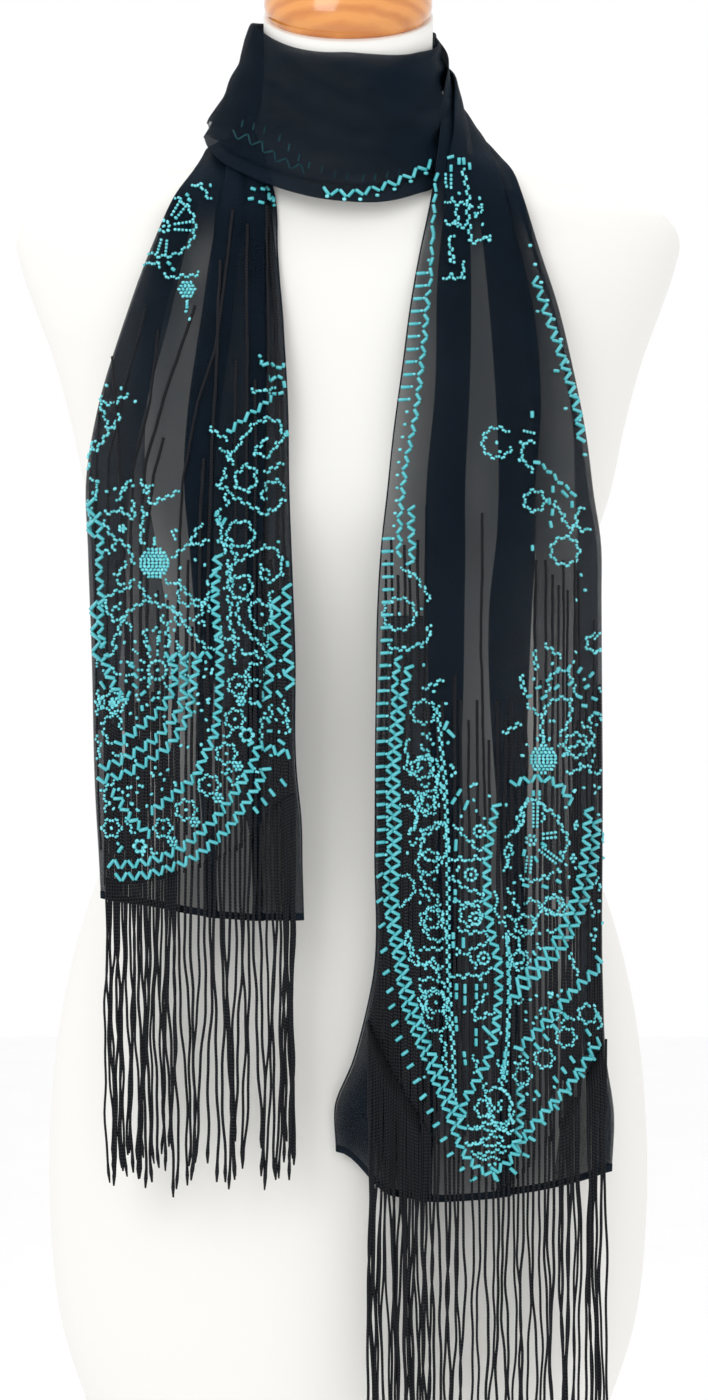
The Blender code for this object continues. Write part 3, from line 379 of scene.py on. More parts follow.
# Beadwork of the longer tail
LEFT_SIDE_BEADS = {
    "zigzag": (
        (0.0016, 0.0056, ((437, 172), (435, 190), (434.5, 205), (433, 225), (432, 250), (431, 275),
                          (429.5, 288))),
        (0.0032, 0.0044, ((429, 290), (427, 307), (426, 323), (425, 337), (422, 361), (420, 380),
                          (418, 400), (414, 426), (410, 445), (406, 463), (404, 481), (402, 500),
                          (400, 517), (400, 536), (399, 558))),
        (0.0046, 0.0038, ((412, 505), (411, 528), (413, 550), (410, 566))),
        (0.0044, 0.0037, ((399, 655), (395, 680), (395, 705), (393, 733), (391, 755), (389, 776),
                          (390, 793), (390, 820), (391, 845), (389, 862), (386, 885), (388, 910),
                          (392, 936), (396, 955), (401, 985), (405.6, 1008), (411.4, 1023), (421, 1047),
                          (429, 1066), (437, 1086), (444.5, 1105), (452, 1124.5), (457, 1140), (464, 1154),
                          (475.6, 1167), (487, 1173), (497, 1177))),
        (0.0052, 0.0037, ((410, 664), (404, 690), (401, 715), (398, 740), (396, 770), (396, 800),
                          (398, 830), (396, 862), (394, 890), (396, 920), (400, 948), (406, 975),
                          (412, 1000), (419, 1022), (428, 1045), (438, 1067), (447, 1088), (456, 1110),
                          (463, 1130))),
        (0.0050, 0.0040, ((534, 277), (548, 318), (562, 358), (575, 400), (580, 425), (581, 443))),
        (0.0052, 0.0037, ((498, 802), (494, 812), (493, 822), (491, 832), (488, 850), (486, 870),
                          (487, 900), (489, 920), (493, 940), (499, 965), (498, 1000), (495, 1035),
                          (485, 1066), (474, 1084), (464, 1099), (461, 1120))),
        (0.0052, 0.0037, ((589, 806), (586, 828), (586, 845), (583, 862), (580, 880), (574, 898),
                          (568, 916), (559, 934), (547, 952), (532, 968), (515, 984))),
        (0.0052, 0.0037, ((597, 818), (595, 837), (594, 857), (591, 875), (586, 893), (580, 912),
                          (572, 930), (561, 949), (544, 968), (525, 986), (507, 1003))),
        (0.0052, 0.0037, ((605, 962), (592, 972), (578, 984), (564, 1000), (550, 1016), (535, 1032),
                          (516, 1050))),
        (0.0050, 0.0038, ((606, 925), (601, 945), (598, 962))),
        (0.0052, 0.0037, ((604, 1033), (592, 1050), (581, 1067), (570, 1083), (557, 1098), (544, 1112),
                          (531, 1126), (522, 1140), (515, 1153.7), (503, 1166), (491, 1171))),
        (0.0052, 0.0037, ((519, 1085), (521, 1109), (518, 1134), (514, 1150))),
        (0.0046, 0.0038, ((510, 784), (522, 780.5), (532, 778), (542, 778), (551, 780), (560, 786),
                          (567, 795), (572, 804))),
    ),
    "rounds": (
        (530, 246), (535, 265), (541, 283), (547, 301), (553, 320), (560, 340), (567, 362), (575, 395),
        (579, 420), (582, 440), (584, 455),
    ),
    "rungs": (
        (427, 236), (423, 258), (421, 274), (418, 298), (413.5, 322), (411.5, 347), (409, 369), (403, 399),
        (398.7, 425.6), (394, 450), (391.4, 474), (390.8, 497), (388, 523), (386, 553), (386.8, 592),
        (385, 622), (385, 649), (383, 676), (381, 705), (381, 726), (381, 748), (380, 776), (381, 805),
        (381.5, 833), (380, 855),
    ),
    "dashes": (
        (380, 875), (380, 900), (382, 925), (384, 950), (387, 972), (390, 990), (392, 1006), (395, 1023),
        (399, 1038), (405, 1052.5), (411, 1066), (417, 1081), (423, 1096), (430, 1111), (436, 1124.5),
        (443, 1139), (450, 1154), (461, 1169), (473, 1179),
    ),
    "bugle": (
        ((446, 159), (455, 156)), ((451, 164), (451, 173)), ((459, 157), (459, 166)),
        ((463, 157), (464, 166)), ((469, 162), (470, 171)), ((532, 410), (532, 419)),
        ((552, 371), (560, 372)), ((560, 490), (568, 498)), ((552, 485), (552, 494)),
        ((548, 497), (549, 506)), ((552, 508), (551, 517)), ((549, 520), (551, 529)),
        ((532, 462), (541, 463), (545, 471), (553, 473), (556, 482), (564, 484), (569, 491), (577, 497)),
        ((571, 500), (571, 509)), ((532, 544), (532, 552)), ((525, 697), (533, 695)),
        ((534, 689), (542, 686)), ((545, 682), (552, 677)), ((556, 674), (560, 666)),
        ((566, 672), (570, 664)), ((577, 674), (582, 666)), ((588, 678), (594, 671)),
        ((596, 684), (603, 679)), ((575, 695), (583, 698)), ((580, 705), (588, 706)),
        ((590, 697), (598, 700)), ((592, 712), (600, 714)), ((540, 700), (548, 694)),
        ((553, 690), (560, 684)), ((567, 686), (574, 680)), ((583, 689), (590, 684)),
        ((533, 789), (533, 797)), ((539, 789), (539, 797)), ((540, 842), (547, 847)),
        ((534, 855), (538, 863)), ((524, 848), (522, 857)), ((555, 879), (562, 883)),
        ((540, 885), (549, 888)), ((521, 884), (530, 886)), ((562, 1012), (568, 1020)),
        ((551, 1023), (558, 1031)), ((542, 1033), (549, 1041)), ((533, 1042), (540, 1050)),
        ((522, 1051), (529, 1059)), ((595, 1012), (601, 1020)), ((585, 1028), (591, 1036)),
        ((569, 1055), (575, 1063)), ((552, 1075), (558, 1083)), ((534, 1089), (540, 1097)),
        ((560, 1066), (566, 1074)), ((604, 852), (605, 861)), ((604, 872), (605, 881)),
        ((603, 892), (604, 901)), ((602, 913), (603, 922)), ((601, 934), (603, 943)),
        ((588, 1054), (596, 1060)), ((577, 1071), (585, 1077)), ((565, 1088), (572, 1095)),
        ((552, 1103), (559, 1110)), ((538, 1118), (546, 1125)), ((527, 1136), (536, 1141)),
        ((521, 1153), (530, 1157)), ((509, 1167), (517, 1173)), ((494, 1174), (498, 1182)),
        ((601, 1053), (607, 1060)), ((443, 731), (448, 720)), ((446, 729), (455, 738)),
        ((450.5, 805), (461, 788)), ((463.4, 811), (468.6, 799)), ((455.7, 838), (454.8, 852)),
        ((454.8, 888), (454.8, 904)), ((453, 931), (453, 949)), ((462.6, 936), (462.6, 949)),
        ((456, 982), (456, 1000)), ((464, 982.5), (464, 1006)), ((475.6, 982.5), (475.6, 1000)),
        ((485, 982), (485, 990)), ((475.6, 1027), (475.6, 1047)), ((481.5, 1025), (491, 1035)),
        ((455, 1015), (456, 1032)), ((463, 1050), (465, 1066)), ((506, 935), (509, 955)),
        ((507, 960), (509, 985)), ((508, 1020), (507, 1040)), ((505, 1050), (503, 1075)),
    ),
    "seed": (
        ((462, 169), (465, 183), (468, 197), (467, 213), (469, 228), (470, 242)), ((447, 173), (447, 189)),
        ((451, 174), (451, 190)), ((445, 204), (449, 201), (457, 205), (465, 203), (469, 207)),
        ((455, 209), (458, 217), (455, 224), (463, 228), (467, 226)), ((444, 222), (451, 225), (459, 226)),
        ((473, 214), (478, 218), (481, 211), (485, 206), (478, 207)),
        ((469, 242), (477, 244), (483, 237), (489, 241), (492, 236)),
        ((454, 235), (447, 243), (453, 248), (449, 252), (453, 258), (450, 260), (454, 265)),
        ((462, 262), (465, 268), (461, 272), (465, 277), (457, 281), (451, 275), (443, 281)),
        ((534.7, 442), (520, 443), (523, 451), (519, 460), (528, 465), (533, 473)),
        ((553, 501), (556, 509), (563, 513), (562, 522.5), (570, 526.5), (571, 534)),
        ((583.6, 507), (575.7, 511), (575.7, 520.5), (572.7, 526), (583.6, 532), (589.5, 528)),
        ((522, 431), (535, 434)),
        ((400.7, 569), (407.6, 569), (409.5, 576), (417.5, 574), (419.4, 583), (424.4, 588), (428.3, 592),
          (429.3, 602)),
        ((388, 645), (399.7, 651), (402.6, 647), (411.5, 651), (415.5, 643), (424.4, 647), (424.4, 641),
          (431.3, 637), (428.3, 631), (430.3, 624)),
        ((437.6, 705), (439, 725), (441, 747), (445, 780), (447, 840), (448, 900), (448, 960), (450, 1010),
          (453, 1060), (454, 1105)),
        ((420, 745), (430.7, 754), (431.5, 768), (436, 780), (441, 787), (444.5, 800)),
        ((403, 790), (417, 793), (417, 807), (417, 823), (409, 834)),
        ((452, 826), (460, 828), (462, 836.5), (472, 842), (474, 850), (484, 848.6)),
        ((417, 840), (429, 833), (437.6, 826), (444.5, 821)),
        ((422, 873), (424, 885), (432, 892), (439, 897), (439, 905.5)),
        ((451, 861), (459, 857), (467, 862), (475, 856), (483, 860)),
        ((451, 876), (463, 888), (481, 893), (485, 897), (477, 902), (462, 904), (453, 900)),
        ((456.5, 928), (463, 931), (470, 933), (479, 931), (487.6, 933), (489, 942), (474, 947),
          (463, 955.5)),
        ((409, 930), (413, 950), (425, 969), (431, 957), (436.7, 961), (438.6, 980.6), (446.4, 986.4)),
        ((448, 975), (464, 977), (470, 973), (479.5, 979), (483, 973), (495, 967)),
        ((487, 992), (481.5, 1000), (471.7, 1010), (473.7, 1019.5), (481.5, 1019.5), (487, 1012),
          (495, 1014)),
        ((541, 736.5), (541, 721), (546, 704), (555, 698.6), (563, 697), (570, 700), (570, 712),
          (567, 724.5), (558, 735.7)),
        ((525.5, 704), (534, 710.7), (541, 716)),
        ((579, 723), (591, 730), (593, 745), (578, 742), (567, 750), (563.4, 755.5)),
        ((565, 773), (577, 771), (579, 764), (587.6, 766), (591, 774.5), (601, 771)),
        ((533, 802), (533, 828)), ((537.5, 802), (537, 828)), ((541, 834), (556.6, 832)),
        ((541, 838.5), (556.6, 837)), ((537.6, 849), (556, 864)), ((541, 846), (560, 861)),
        ((527, 855), (525, 873)), ((531.5, 855), (530, 874)), ((522, 809), (527, 800), (532, 797)),
        ((537.6, 798), (544.5, 809), (551, 811), (556.6, 816), (560, 826), (567, 836.6), (567, 848.6),
          (560, 852), (561.7, 862)),
        ((511.7, 833), (520, 828), (517, 819), (522, 809)),
        ((510, 845), (513.4, 850), (506.6, 861), (510, 869)),
        ((518.6, 876), (525.5, 880), (536, 881), (543, 876), (549.7, 878), (551.4, 871)),
        ((485, 1082), (483, 1091.5), (489, 1099), (487, 1113), (493, 1117), (493, 1126.5)),
        ((466, 1126.5), (475.6, 1128), (485, 1122.6), (495, 1122.6), (503, 1130), (512.6, 1120.6),
          (510.6, 1103)),
        ((464, 1144), (475.6, 1144), (485, 1138), (493, 1134), (504, 1140)),
        ((470, 1152), (482, 1155), (494, 1150), (506, 1152)),
        ((507, 930), (508, 960), (509, 990), (508, 1020), (507, 1050), (505, 1082)),
        ((592, 640), (600, 632)), ((594, 652), (602, 650)),
        ((496, 1060), (503, 1070), (499, 1082), (505, 1092)), ((471, 1055), (478, 1064), (474, 1074)),
        ((419, 985), (427, 995), (424, 1008), (432, 1020)),
        ((440, 1035), (446, 1048), (443, 1060), (449, 1072)),
    ),
    "star": (
        (497, 443, 0.0106, 40, 320), (534, 501, 0.0078, 0, 360), (564, 551, 0.0100, 0, 360),
        (400, 614, 0.0112, 0, 360), (594, 643, 0.0070, 90, 270), (424, 712, 0.0085, 0, 360),
        (422, 768, 0.0078, 0, 360), (428, 805, 0.0074, 0, 360), (429, 862, 0.0086, 0, 360),
        (430.7, 919, 0.0074, 0, 360), (436, 1002, 0.0076, 0, 360), (551.4, 905.5, 0.0068, 0, 360),
        (586.5, 1013.6, 0.0072, 0, 360), (565, 1037, 0.0072, 0, 360), (543.7, 1058, 0.0072, 0, 360),
        (522, 1076, 0.0066, 0, 360), (484, 1108, 0.0070, 0, 360), (575, 745, 0.0086, 0, 360),
        (525, 925, 0.0076, 0, 360), (520, 960, 0.0072, 0, 360), (560, 680, 0.0080, 0, 180),
        (470, 915, 0.0080, 0, 360),
    ),
    "line": (
        ((410, 738), (405, 748), (410, 758), (405, 768), (412, 775), (420, 770), (418, 760), (426, 754),
          (436, 760), (441, 770), (436, 780), (444, 788)),
        ((428, 792), (437, 787), (437, 797), (434, 806), (425, 812), (420, 806), (424, 798), (417, 793),
          (428, 792)),
        ((400, 805), (410, 806), (418, 815), (416, 828), (408, 834)),
        ((430, 828), (438, 822), (448, 826), (444, 836), (450, 846), (444, 856), (434, 862), (424, 858),
          (420, 848), (426, 838), (420, 830), (430, 828)),
        ((400, 876), (408, 874), (414, 880), (416, 892), (408, 900), (400, 908)),
        ((428, 908), (436, 905), (444, 914), (442, 926), (448, 934), (440, 942), (430, 938), (424, 930),
          (428, 908)),
        ((409, 930), (405, 942), (412, 950), (410, 960), (420, 966), (430, 962), (436, 970), (444, 966)),
        ((425, 992), (434, 988), (443, 992), (448, 1003), (444, 1014), (449, 1026), (440, 1031),
          (430, 1030), (422, 1020), (424, 1008), (418, 1000), (425, 992)),
        ((505, 838), (512, 832), (520, 828), (524, 818), (521, 806), (530, 799), (540, 802), (548, 812)),
        ((510, 842), (504, 852), (508, 862), (503, 872)), ((494, 890), (498, 900), (494, 910), (500, 918)),
        ((524, 905), (530, 898), (538, 902), (542, 912), (534, 918), (536, 928), (528, 932), (520, 926)),
        ((546, 900), (554, 894), (562, 900), (566, 908), (560, 916), (552, 914), (546, 908)),
        ((502, 938), (512, 934), (520, 940), (518, 950), (526, 956), (520, 964), (510, 962)),
        ((604, 828), (600, 838), (606, 848), (602, 858), (606, 870)),
        ((560, 1024), (566, 1016), (574, 1020)),
        ((486, 1092), (496, 1086), (506, 1092), (512, 1102), (508, 1112), (512, 1120), (500, 1124),
          (490, 1120)),
        ((466, 1126), (474, 1130), (482, 1126), (490, 1132), (500, 1128), (508, 1134), (516, 1128)),
        ((465, 1142), (472, 1146), (480, 1141), (488, 1147), (498, 1143), (506, 1148), (514, 1142)),
        ((476, 1156), (484, 1160), (492, 1156), (500, 1160)),
    ),
    "ring": (
        (479, 831, 0.0036), (470, 874.5, 0.0036), (474.6, 918.4, 0.0036), (483, 958, 0.0036),
        (530.7, 840, 0.0030),
    ),
    "disc": ((542.8, 759, 0.0086, 740), (551, 721, 0.0020, 0), (575, 825, 0.0022, 0), (573, 858, 0.0022, 0)),
    "ray": ((542.8, 759, 0.0112, 0.0145, -80, 80, 6),),
    "dot": (
        (459, 194), (452, 199), (471, 207), (480, 199), (483, 225), (537, 312), (565, 409), (422, 609),
        (424, 665), (530.7, 840), (400, 614), (479, 831), (470, 874.5), (474.6, 918.4), (483, 958),
        (436, 1002), (428, 805), (422, 768), (430.7, 919), (497, 443), (500, 452), (486, 438), (580, 575),
        (585, 590), (575, 600),
    ),
    "field": (
        (572, 755, 600, 830, 22), (590, 900, 603, 960, 18), (520, 990, 566, 1030, 26),
        (505, 880, 560, 960, 22), (548, 700, 600, 790, 16), (452, 780, 492, 1060, 44),
        (408, 690, 440, 900, 34), (412, 900, 446, 1080, 26), (505, 1055, 560, 1110, 16),
        (470, 1080, 520, 1165, 24), (530, 640, 604, 700, 10), (437, 700, 455, 1105, 70),
        (500, 925, 512, 1085, 34), (505, 800, 575, 880, 20), (575, 1035, 603, 1060, 6),
    ),
    "worm": (
        (408, 680, 442, 900, 38), (412, 900, 446, 1060, 30), (453, 850, 488, 1040, 42),
        (505, 820, 575, 960, 36), (500, 900, 560, 960, 16), (520, 640, 600, 790, 36),
        (466, 1060, 520, 1160, 24), (530, 1000, 598, 1060, 18), (590, 700, 600, 1030, 12),
        (500, 1000, 530, 1080, 8),
    ),
}

# Beadwork of the band's lower edge
BAND_BEADS = {
    "zigzag": (
        (0.0042, 0.0046, ((322, 191), (336, 193.5), (352, 194.5), (372, 190.5), (395, 183), (415, 173),
                          (432, 163))),
    ),
    "rounds": ((327, 197), (344, 200), (360, 200), (377, 196), (394, 190), (410, 182), (425, 174)),
}

# Beads of the layer beneath, seen faintly through the band
BAND_UNDER_BEADS = {
    "zigzag": ((0.0046, 0.0042, ((232, 134), (246, 138), (262, 146), (274, 157), (290, 165), (306, 171))),
               (0.0036, 0.0040, ((230, 152), (246, 162), (264, 172), (284, 183), (300, 189)))),
    "bugle": tuple(((x + 1, y - 4.5), (x - 1, y + 4.5)) for x, y in (
        (243, 124), (254, 127), (265, 130), (280, 138), (289, 148), (299, 158), (309, 166), (322, 170),
        (335, 175), (347, 176.5), (363, 178), (375, 177.5), (387, 175), (399, 172), (411, 166),
    )),
}


# Cords couched on the tails, each a run of (px, py) places down to where its strand leaves the cloth
RIGHT_SIDE_COUCHING = (
    ((233, 210), (214, 351), (198, 402), (184, 480), (180, 560), (176, 840)),
    ((196, 306), (169, 384), (147, 462), (141, 520), (141, 700), (140, 850)),
    ((164, 438), (154, 474), (147, 540), (147, 850)), ((145, 308), (125, 387), (108, 462), (108, 850)),
    ((205, 458), (202, 500), (200, 600), (196, 830)),
    ((248, 224), (247, 350), (246, 500), (242, 640), (239, 780)),
    ((265, 205), (266, 350), (267, 500), (266, 640), (268, 745)),
    ((274, 205), (276, 350), (277, 500), (276, 640), (276, 740)),
    ((236, 360), (236, 500), (232, 640), (228, 790)),
    ((113, 357), (119, 420), (122, 480), (125, 600), (125, 850)),
    ((98, 413), (96, 480), (96, 600), (100, 850)),
    ((160, 330), (152, 400), (134, 470), (131, 540), (132, 700), (133, 850)),
    ((222, 260), (218, 360), (212, 440), (208, 560), (206, 800)),
    ((255, 380), (256, 480), (255, 600), (253, 765)), ((283, 380), (283, 480), (284, 600), (285, 730)),
    ((158, 590), (158, 850)), ((168, 600), (167, 700), (167, 850)), ((189, 560), (187, 700), (186, 835)),
    ((218, 600), (216, 800)), ((116, 560), (116, 700), (117, 850)), ((260, 540), (260, 650), (259, 755)),
    ((270, 560), (272, 740)), ((280, 590), (280, 660), (281, 735)),
)
LEFT_SIDE_COUCHING = (
    ((425, 505), (424, 650), (420, 800), (417, 1000), (420, 1040)),
    ((484, 513), (483, 640), (484, 740), (484, 1165)), ((454, 675), (454, 830), (456, 1120)),
    ((534, 560), (535, 700), (534, 900), (534, 1110)), ((545, 560), (546, 700), (545, 900), (545, 1100)),
    ((551, 575), (552, 700), (551, 900), (551, 1095)), ((557, 585), (557, 1088)), ((563, 560), (563, 1080)),
    ((568, 590), (568, 700), (569, 900), (569, 1075)), ((572, 560), (573, 700), (574, 900), (575, 1066)),
    ((578, 575), (579, 700), (581, 900), (581, 1058)), ((387, 560), (387, 700), (388, 900), (389, 970)),
    ((392, 540), (392, 700), (394, 900), (396, 985)), ((398, 575), (398, 700), (400, 900), (402, 1000)),
    ((405, 545), (405, 700), (406, 900), (408, 1015)), ((410, 560), (411, 700), (412, 900), (413, 1030)),
    ((431, 700), (431, 1060)), ((437, 720), (437, 850), (438, 1080)), ((443, 700), (443, 850), (445, 1100)),
    ((461, 700), (462, 850), (463, 1135)), ((468, 720), (469, 850), (470, 1145)),
    ((476, 700), (476, 850), (477, 1155)), ((491, 740), (491, 1160)), ((498, 700), (498, 1155)),
    ((505, 720), (505, 1150)), ((512, 700), (512, 1140)), ((519, 720), (519, 1130)),
    ((526, 690), (526, 1120)), ((540, 680), (540, 1105)), ((586, 690), (587, 850), (588, 1045)),
    ((592, 620), (593, 850), (594, 1030)), ((598, 690), (599, 850), (600, 1020)),
    ((418, 540), (418, 600), (419, 700)),
)

# Beads of each kind: length and the property that holds their width
BEAD_KINDS = {"bugle": (0.0060, "bugle_width"), "seed": (0.0022, "seed_width"),
              "round": (0.0024, "round_width")}

# How the beads are sewn: what widens a zigzag, the thread left bare at the ends of a bead, the swing and
# step of crooked runs, the room kept between loose beads, and the rungs and dashes of the ladder
ZIGZAG_SWING, ZIGZAG_STEP = 1.22, 1.12
BUGLE_GAP, SEED_GAP = 0.00065, 0.00028
CROOKED = {"seed": (2, 0.0028, 0.0030), "line": (4, 0.0018, 0.0029)}
FIELD_ROOM, WORM_ROOM, WORM_STEP, WORM_BENDS = 0.0034, 0.0030, 0.0042, 5
STAR_STEP, STAR_DEPTH, RING_STEP = 0.0034, 0.0026, 0.0026
DISC_ROW, DISC_PITCH, DISC_TIP_STEP = 0.0021, 0.0024, 0.0018
RUNG_STEP, RUNG_SLOPE = 0.0078, 0.0004
RUNG = ((-0.0052, -0.0032, "seed"), (-0.0028, 0.0028, "bugle"), (0.0032, 0.0052, "seed"))
DASH = np.array((0.0021, 0.0014))

# Couched cords: how near to a tail's edge they may lie, the step along them, how far they wander at a
# step, how flat they are, and how far their middle stands off the cloth, in shares of their width
COUCHED_INSET, COUCHED_STEP, COUCHED_WANDER = 0.0032, 0.004, 0.00012
COUCHED_FLATNESS, COUCHED_RAISED = 0.62, 0.28

# Hanging cords: the step along them, how far they stand off the cloth at the root and in front of the
# hem, how much their ends vary, and the knot: its height above the end, its reach and its swelling
CORD_STEP, ROOT_CLEAR, HANG_CLEAR, END_VARIES = 0.006, 0.0008, 0.0009, 0.024
KNOT_HEIGHT, KNOT_REACH, KNOT_SWELL = 0.007, 0.0022, 0.45


def smooth(at, places, values):
    """A curve through (places, values) by cubic pieces whose slopes are averages of their neighbours'."""
    places, values = np.asarray(places, float), np.asarray(values, float)
    steps = np.diff(places)
    slopes = np.diff(values) / steps
    tangent = np.empty_like(values)
    tangent[1:-1] = (slopes[:-1] * steps[1:] + slopes[1:] * steps[:-1]) / (steps[:-1] + steps[1:])
    tangent[0], tangent[-1] = slopes[0], slopes[-1]
    at = np.clip(np.asarray(at, float), places[0], places[-1])
    i = np.clip(np.searchsorted(places, at, side="right") - 1, 0, len(steps) - 1)
    t = (at - places[i]) / steps[i]
    return (
        values[i] * (1 + 2 * t) * (1 - t) ** 2
        + steps[i] * tangent[i] * t * (1 - t) ** 2
        + values[i + 1] * t * t * (3 - 2 * t)
        + steps[i] * tangent[i + 1] * t * t * (t - 1)
    )


def column(table, names, name):
    return np.array([row[names.index(name)] for row in table], float)


def ease(value, low, high):
    """0 below low, 1 above high and a smooth rise between."""
    t = np.clip((np.asarray(value, float) - low) / (high - low), 0, 1)
    return t * t * (3 - 2 * t)


def length_along(points):
    """The length of a path from its first point to each of its points."""
    return np.concatenate([[0], np.cumsum(np.linalg.norm(np.diff(points, axis=0), axis=1))])


def unit(vectors):
    """Vectors of the same directions and of length 1."""
    return vectors / np.maximum(np.linalg.norm(vectors, axis=-1, keepdims=True), 1e-12)


def averaged(values, width):
    """Each value as the mean of an odd number of neighbours, the end values going on past the ends."""
    return np.convolve(np.pad(values, width // 2, "edge"), np.ones(width) / width, "valid")


def subdivided(knots, count):
    """Knots with their gaps cut into a number of even steps."""
    steps = [np.linspace(a, b, count, endpoint=False) for a, b in zip(knots[:-1], knots[1:])]
    return np.concatenate(steps + [knots[-1:]])


def quads_of(rows, columns, closed=False):
    """Corners of the quads of a grid, rows by columns, whose last column joins the first where closed."""
    r, c = np.meshgrid(np.arange(rows - 1), np.arange(columns - (not closed)), indexing="ij")
    c1 = (c + 1) % columns
    quads = np.stack([r * columns + c, r * columns + c1, (r + 1) * columns + c1, (r + 1) * columns + c], -1)
    return quads.reshape(-1, 4)


def grid_mesh(name, grid, material, uv=None):
    """A mesh of quads through a grid of points, rows by columns. uv gives (u, v) for each point."""
    return mesh_object(name, grid.reshape(-1, 3), quads_of(*grid.shape[:2]), material, uv)


def mesh_object(name, points, faces, material, uv=None):
    """A mesh from arrays of points and of equal-sided faces, smooth shaded. uv is given by point."""
    points, faces = np.asarray(points, np.float32), np.asarray(faces, np.int32)
    mesh = bpy.data.meshes.new(name)
    count, sides = faces.shape
    mesh.vertices.add(len(points))
    mesh.vertices.foreach_set("co", points.ravel())
    mesh.loops.add(count * sides)
    mesh.loops.foreach_set("vertex_index", faces.ravel())
    mesh.polygons.add(count)
    mesh.polygons.foreach_set("loop_start", np.arange(0, count * sides, sides, dtype=np.int32))
    mesh.update(calc_edges=True)
    mesh.validate()
    if uv is not None:
        layer = mesh.uv_layers.new(name="UVMap")
        layer.data.foreach_set("uv", np.asarray(uv, np.float32).reshape(-1, 2)[faces.ravel()].ravel())
    mesh.shade_smooth()
    obj = bpy.data.objects.new(name, mesh)
    bpy.context.scene.collection.objects.link(obj)
    obj.data.materials.append(material)
    return obj


def joined_grids(name, grids, material, uvs=None):
    """One mesh from many grids that close across, such as tubes whose first and last rings are points.
    Points that coincide, as at a pole or a tube's end, are welded."""
    points, faces, base = [], [], 0
    for grid in grids:
        rows, columns = grid.shape[:2]
        points.append(grid.reshape(-1, 3))
        faces.append(quads_of(rows, columns, closed=True) + base)
        base += rows * columns
    uv = None if uvs is None else np.concatenate([u.reshape(-1, 2) for u in uvs])
    obj = mesh_object(name, np.concatenate(points), np.concatenate(faces), material, uv)
    work = bmesh.new()
    work.from_mesh(obj.data)
    bmesh.ops.remove_doubles(work, verts=work.verts, dist=1e-6)
    work.to_mesh(obj.data)
    work.free()
    obj.data.shade_smooth()
    return obj


def tube(path, normal, wide, deep, sides=6):
    """A tube along a path: rings of an oval, wide across and deep along the normal, drawn to a point at
    both ends. Also gives (turn, length) for each point of its rings."""
    tangent = unit(np.gradient(path, axis=0))
    side = unit(np.cross(tangent, normal))
    up = np.cross(side, tangent)
    wide, deep = np.broadcast_to(wide, len(path)), np.broadcast_to(deep, len(path))
    turn = -2 * np.pi * np.arange(sides) / sides
    ring = (
        np.cos(turn)[None, :, None] * side[:, None] * wide[:, None, None]
        + np.sin(turn)[None, :, None] * up[:, None] * deep[:, None, None]
    ) / 2
    ends = [np.repeat(end[:, None], sides, 1) for end in (path[:1], path[-1:])]
    along = length_along(path)
    u, v = np.meshgrid(np.arange(sides) / sides, np.concatenate([[0], along, along[-1:]]))
    return np.concatenate([ends[0], path[:, None] + ring, ends[1]]), np.stack([u, v], -1)


def torso_points(turn, z):
    """Points of the form. Each section is a rounded oval of its own half width and of one depth to the
    front and another to the back; two bells push the bust forwards and the top of the neck is tilted."""
    heights = column(TORSO, TORSO_COLUMNS, "z")
    wide, front, back = (smooth(z, heights, column(TORSO, TORSO_COLUMNS, n)) for n in TORSO_COLUMNS[1:])
    c, s = np.cos(turn), np.sin(turn)
    power = 2 / (TORSO_ROUNDNESS + (2 - TORSO_ROUNDNESS) * ease(z, NECK_FROM_Z, NECK_FROM_Z + NECK_BLEND))
    x = np.sign(c) * np.abs(c) ** power * wide
    y = np.sign(s) * np.abs(s) ** power * np.where(s > 0, back, front)
    for side in (-1, 1):
        away = ((x - side * BUST_APART / 2) ** 2 + (z - BUST_HEIGHT) ** 2) / BUST_REACH**2
        y = y - np.where(s < 0, BUST_OUT * np.exp(-away), 0)
    lift = math.tan(NECK_TILT) * y * ease(z, TILT_FROM_Z, NECK_TOP_Z)
    return np.stack([x, y, z + lift], -1)


def turned_grid(profile, steps, rounding=6, curve=smooth):
    """Grid of a turned piece: a profile of (radius, height) from the top's middle down the outside to
    the bottom's middle, drawn along a curve and carried round the axis."""
    profile = np.array(profile, float)
    along = length_along(profile)
    at = subdivided(along, rounding)
    r, z = curve(at, along, profile[:, 0]), curve(at, along, profile[:, 1])
    turn = 2 * np.pi * np.arange(steps) / steps
    return np.stack([
        r[:, None] * np.cos(turn), -r[:, None] * np.sin(turn), np.repeat(z[:, None], steps, 1)
    ], -1)


def hang_depth(x, z):
    """Y of the hanging cloth: furthest forward on the bust line, and curling back to both sides."""
    y = smooth(z, column(HANG, HANG_COLUMNS, "z"), column(HANG, HANG_COLUMNS, "y"))
    off = np.abs(x) - BUST_LINE_X
    return y + CURL_IN * np.minimum(off, 0) ** 2 + CURL_OUT * np.maximum(off, 0) ** 2


def polar(angle, radius, z):
    """A point by its angle from the front, positive towards +X, and its distance from the neck's axis."""
    a = np.radians(angle)
    return np.stack([radius * np.sin(a), -radius * np.cos(a), z + 0 * a], -1)


def row_points(inner, middle, outer, share):
    """Points of the parabola through three points at shares 0, a half and 1."""
    s = np.asarray(share, float)[:, None]
    return np.asarray(inner) * (1 - s) * (1 - 2 * s) + np.asarray(middle) * 4 * s * (1 - s) + (
        np.asarray(outer) * s * (2 * s - 1)
    )


def tail_rows(outline, climb, top, top_angle):
    """Inner edge, middle and outer edge of each row of a tail, from its hem to behind the neck."""
    rows = [
        [(x, float(hang_depth(x, z)), z) for x in (inner, (inner + outer) / 2, outer)]
        for z, inner, outer in outline
    ]
    rows += [list(three) for three in climb]
    rows.append([tuple(polar(top_angle, r, z)) for r, z in top])
    return np.array(rows, float)


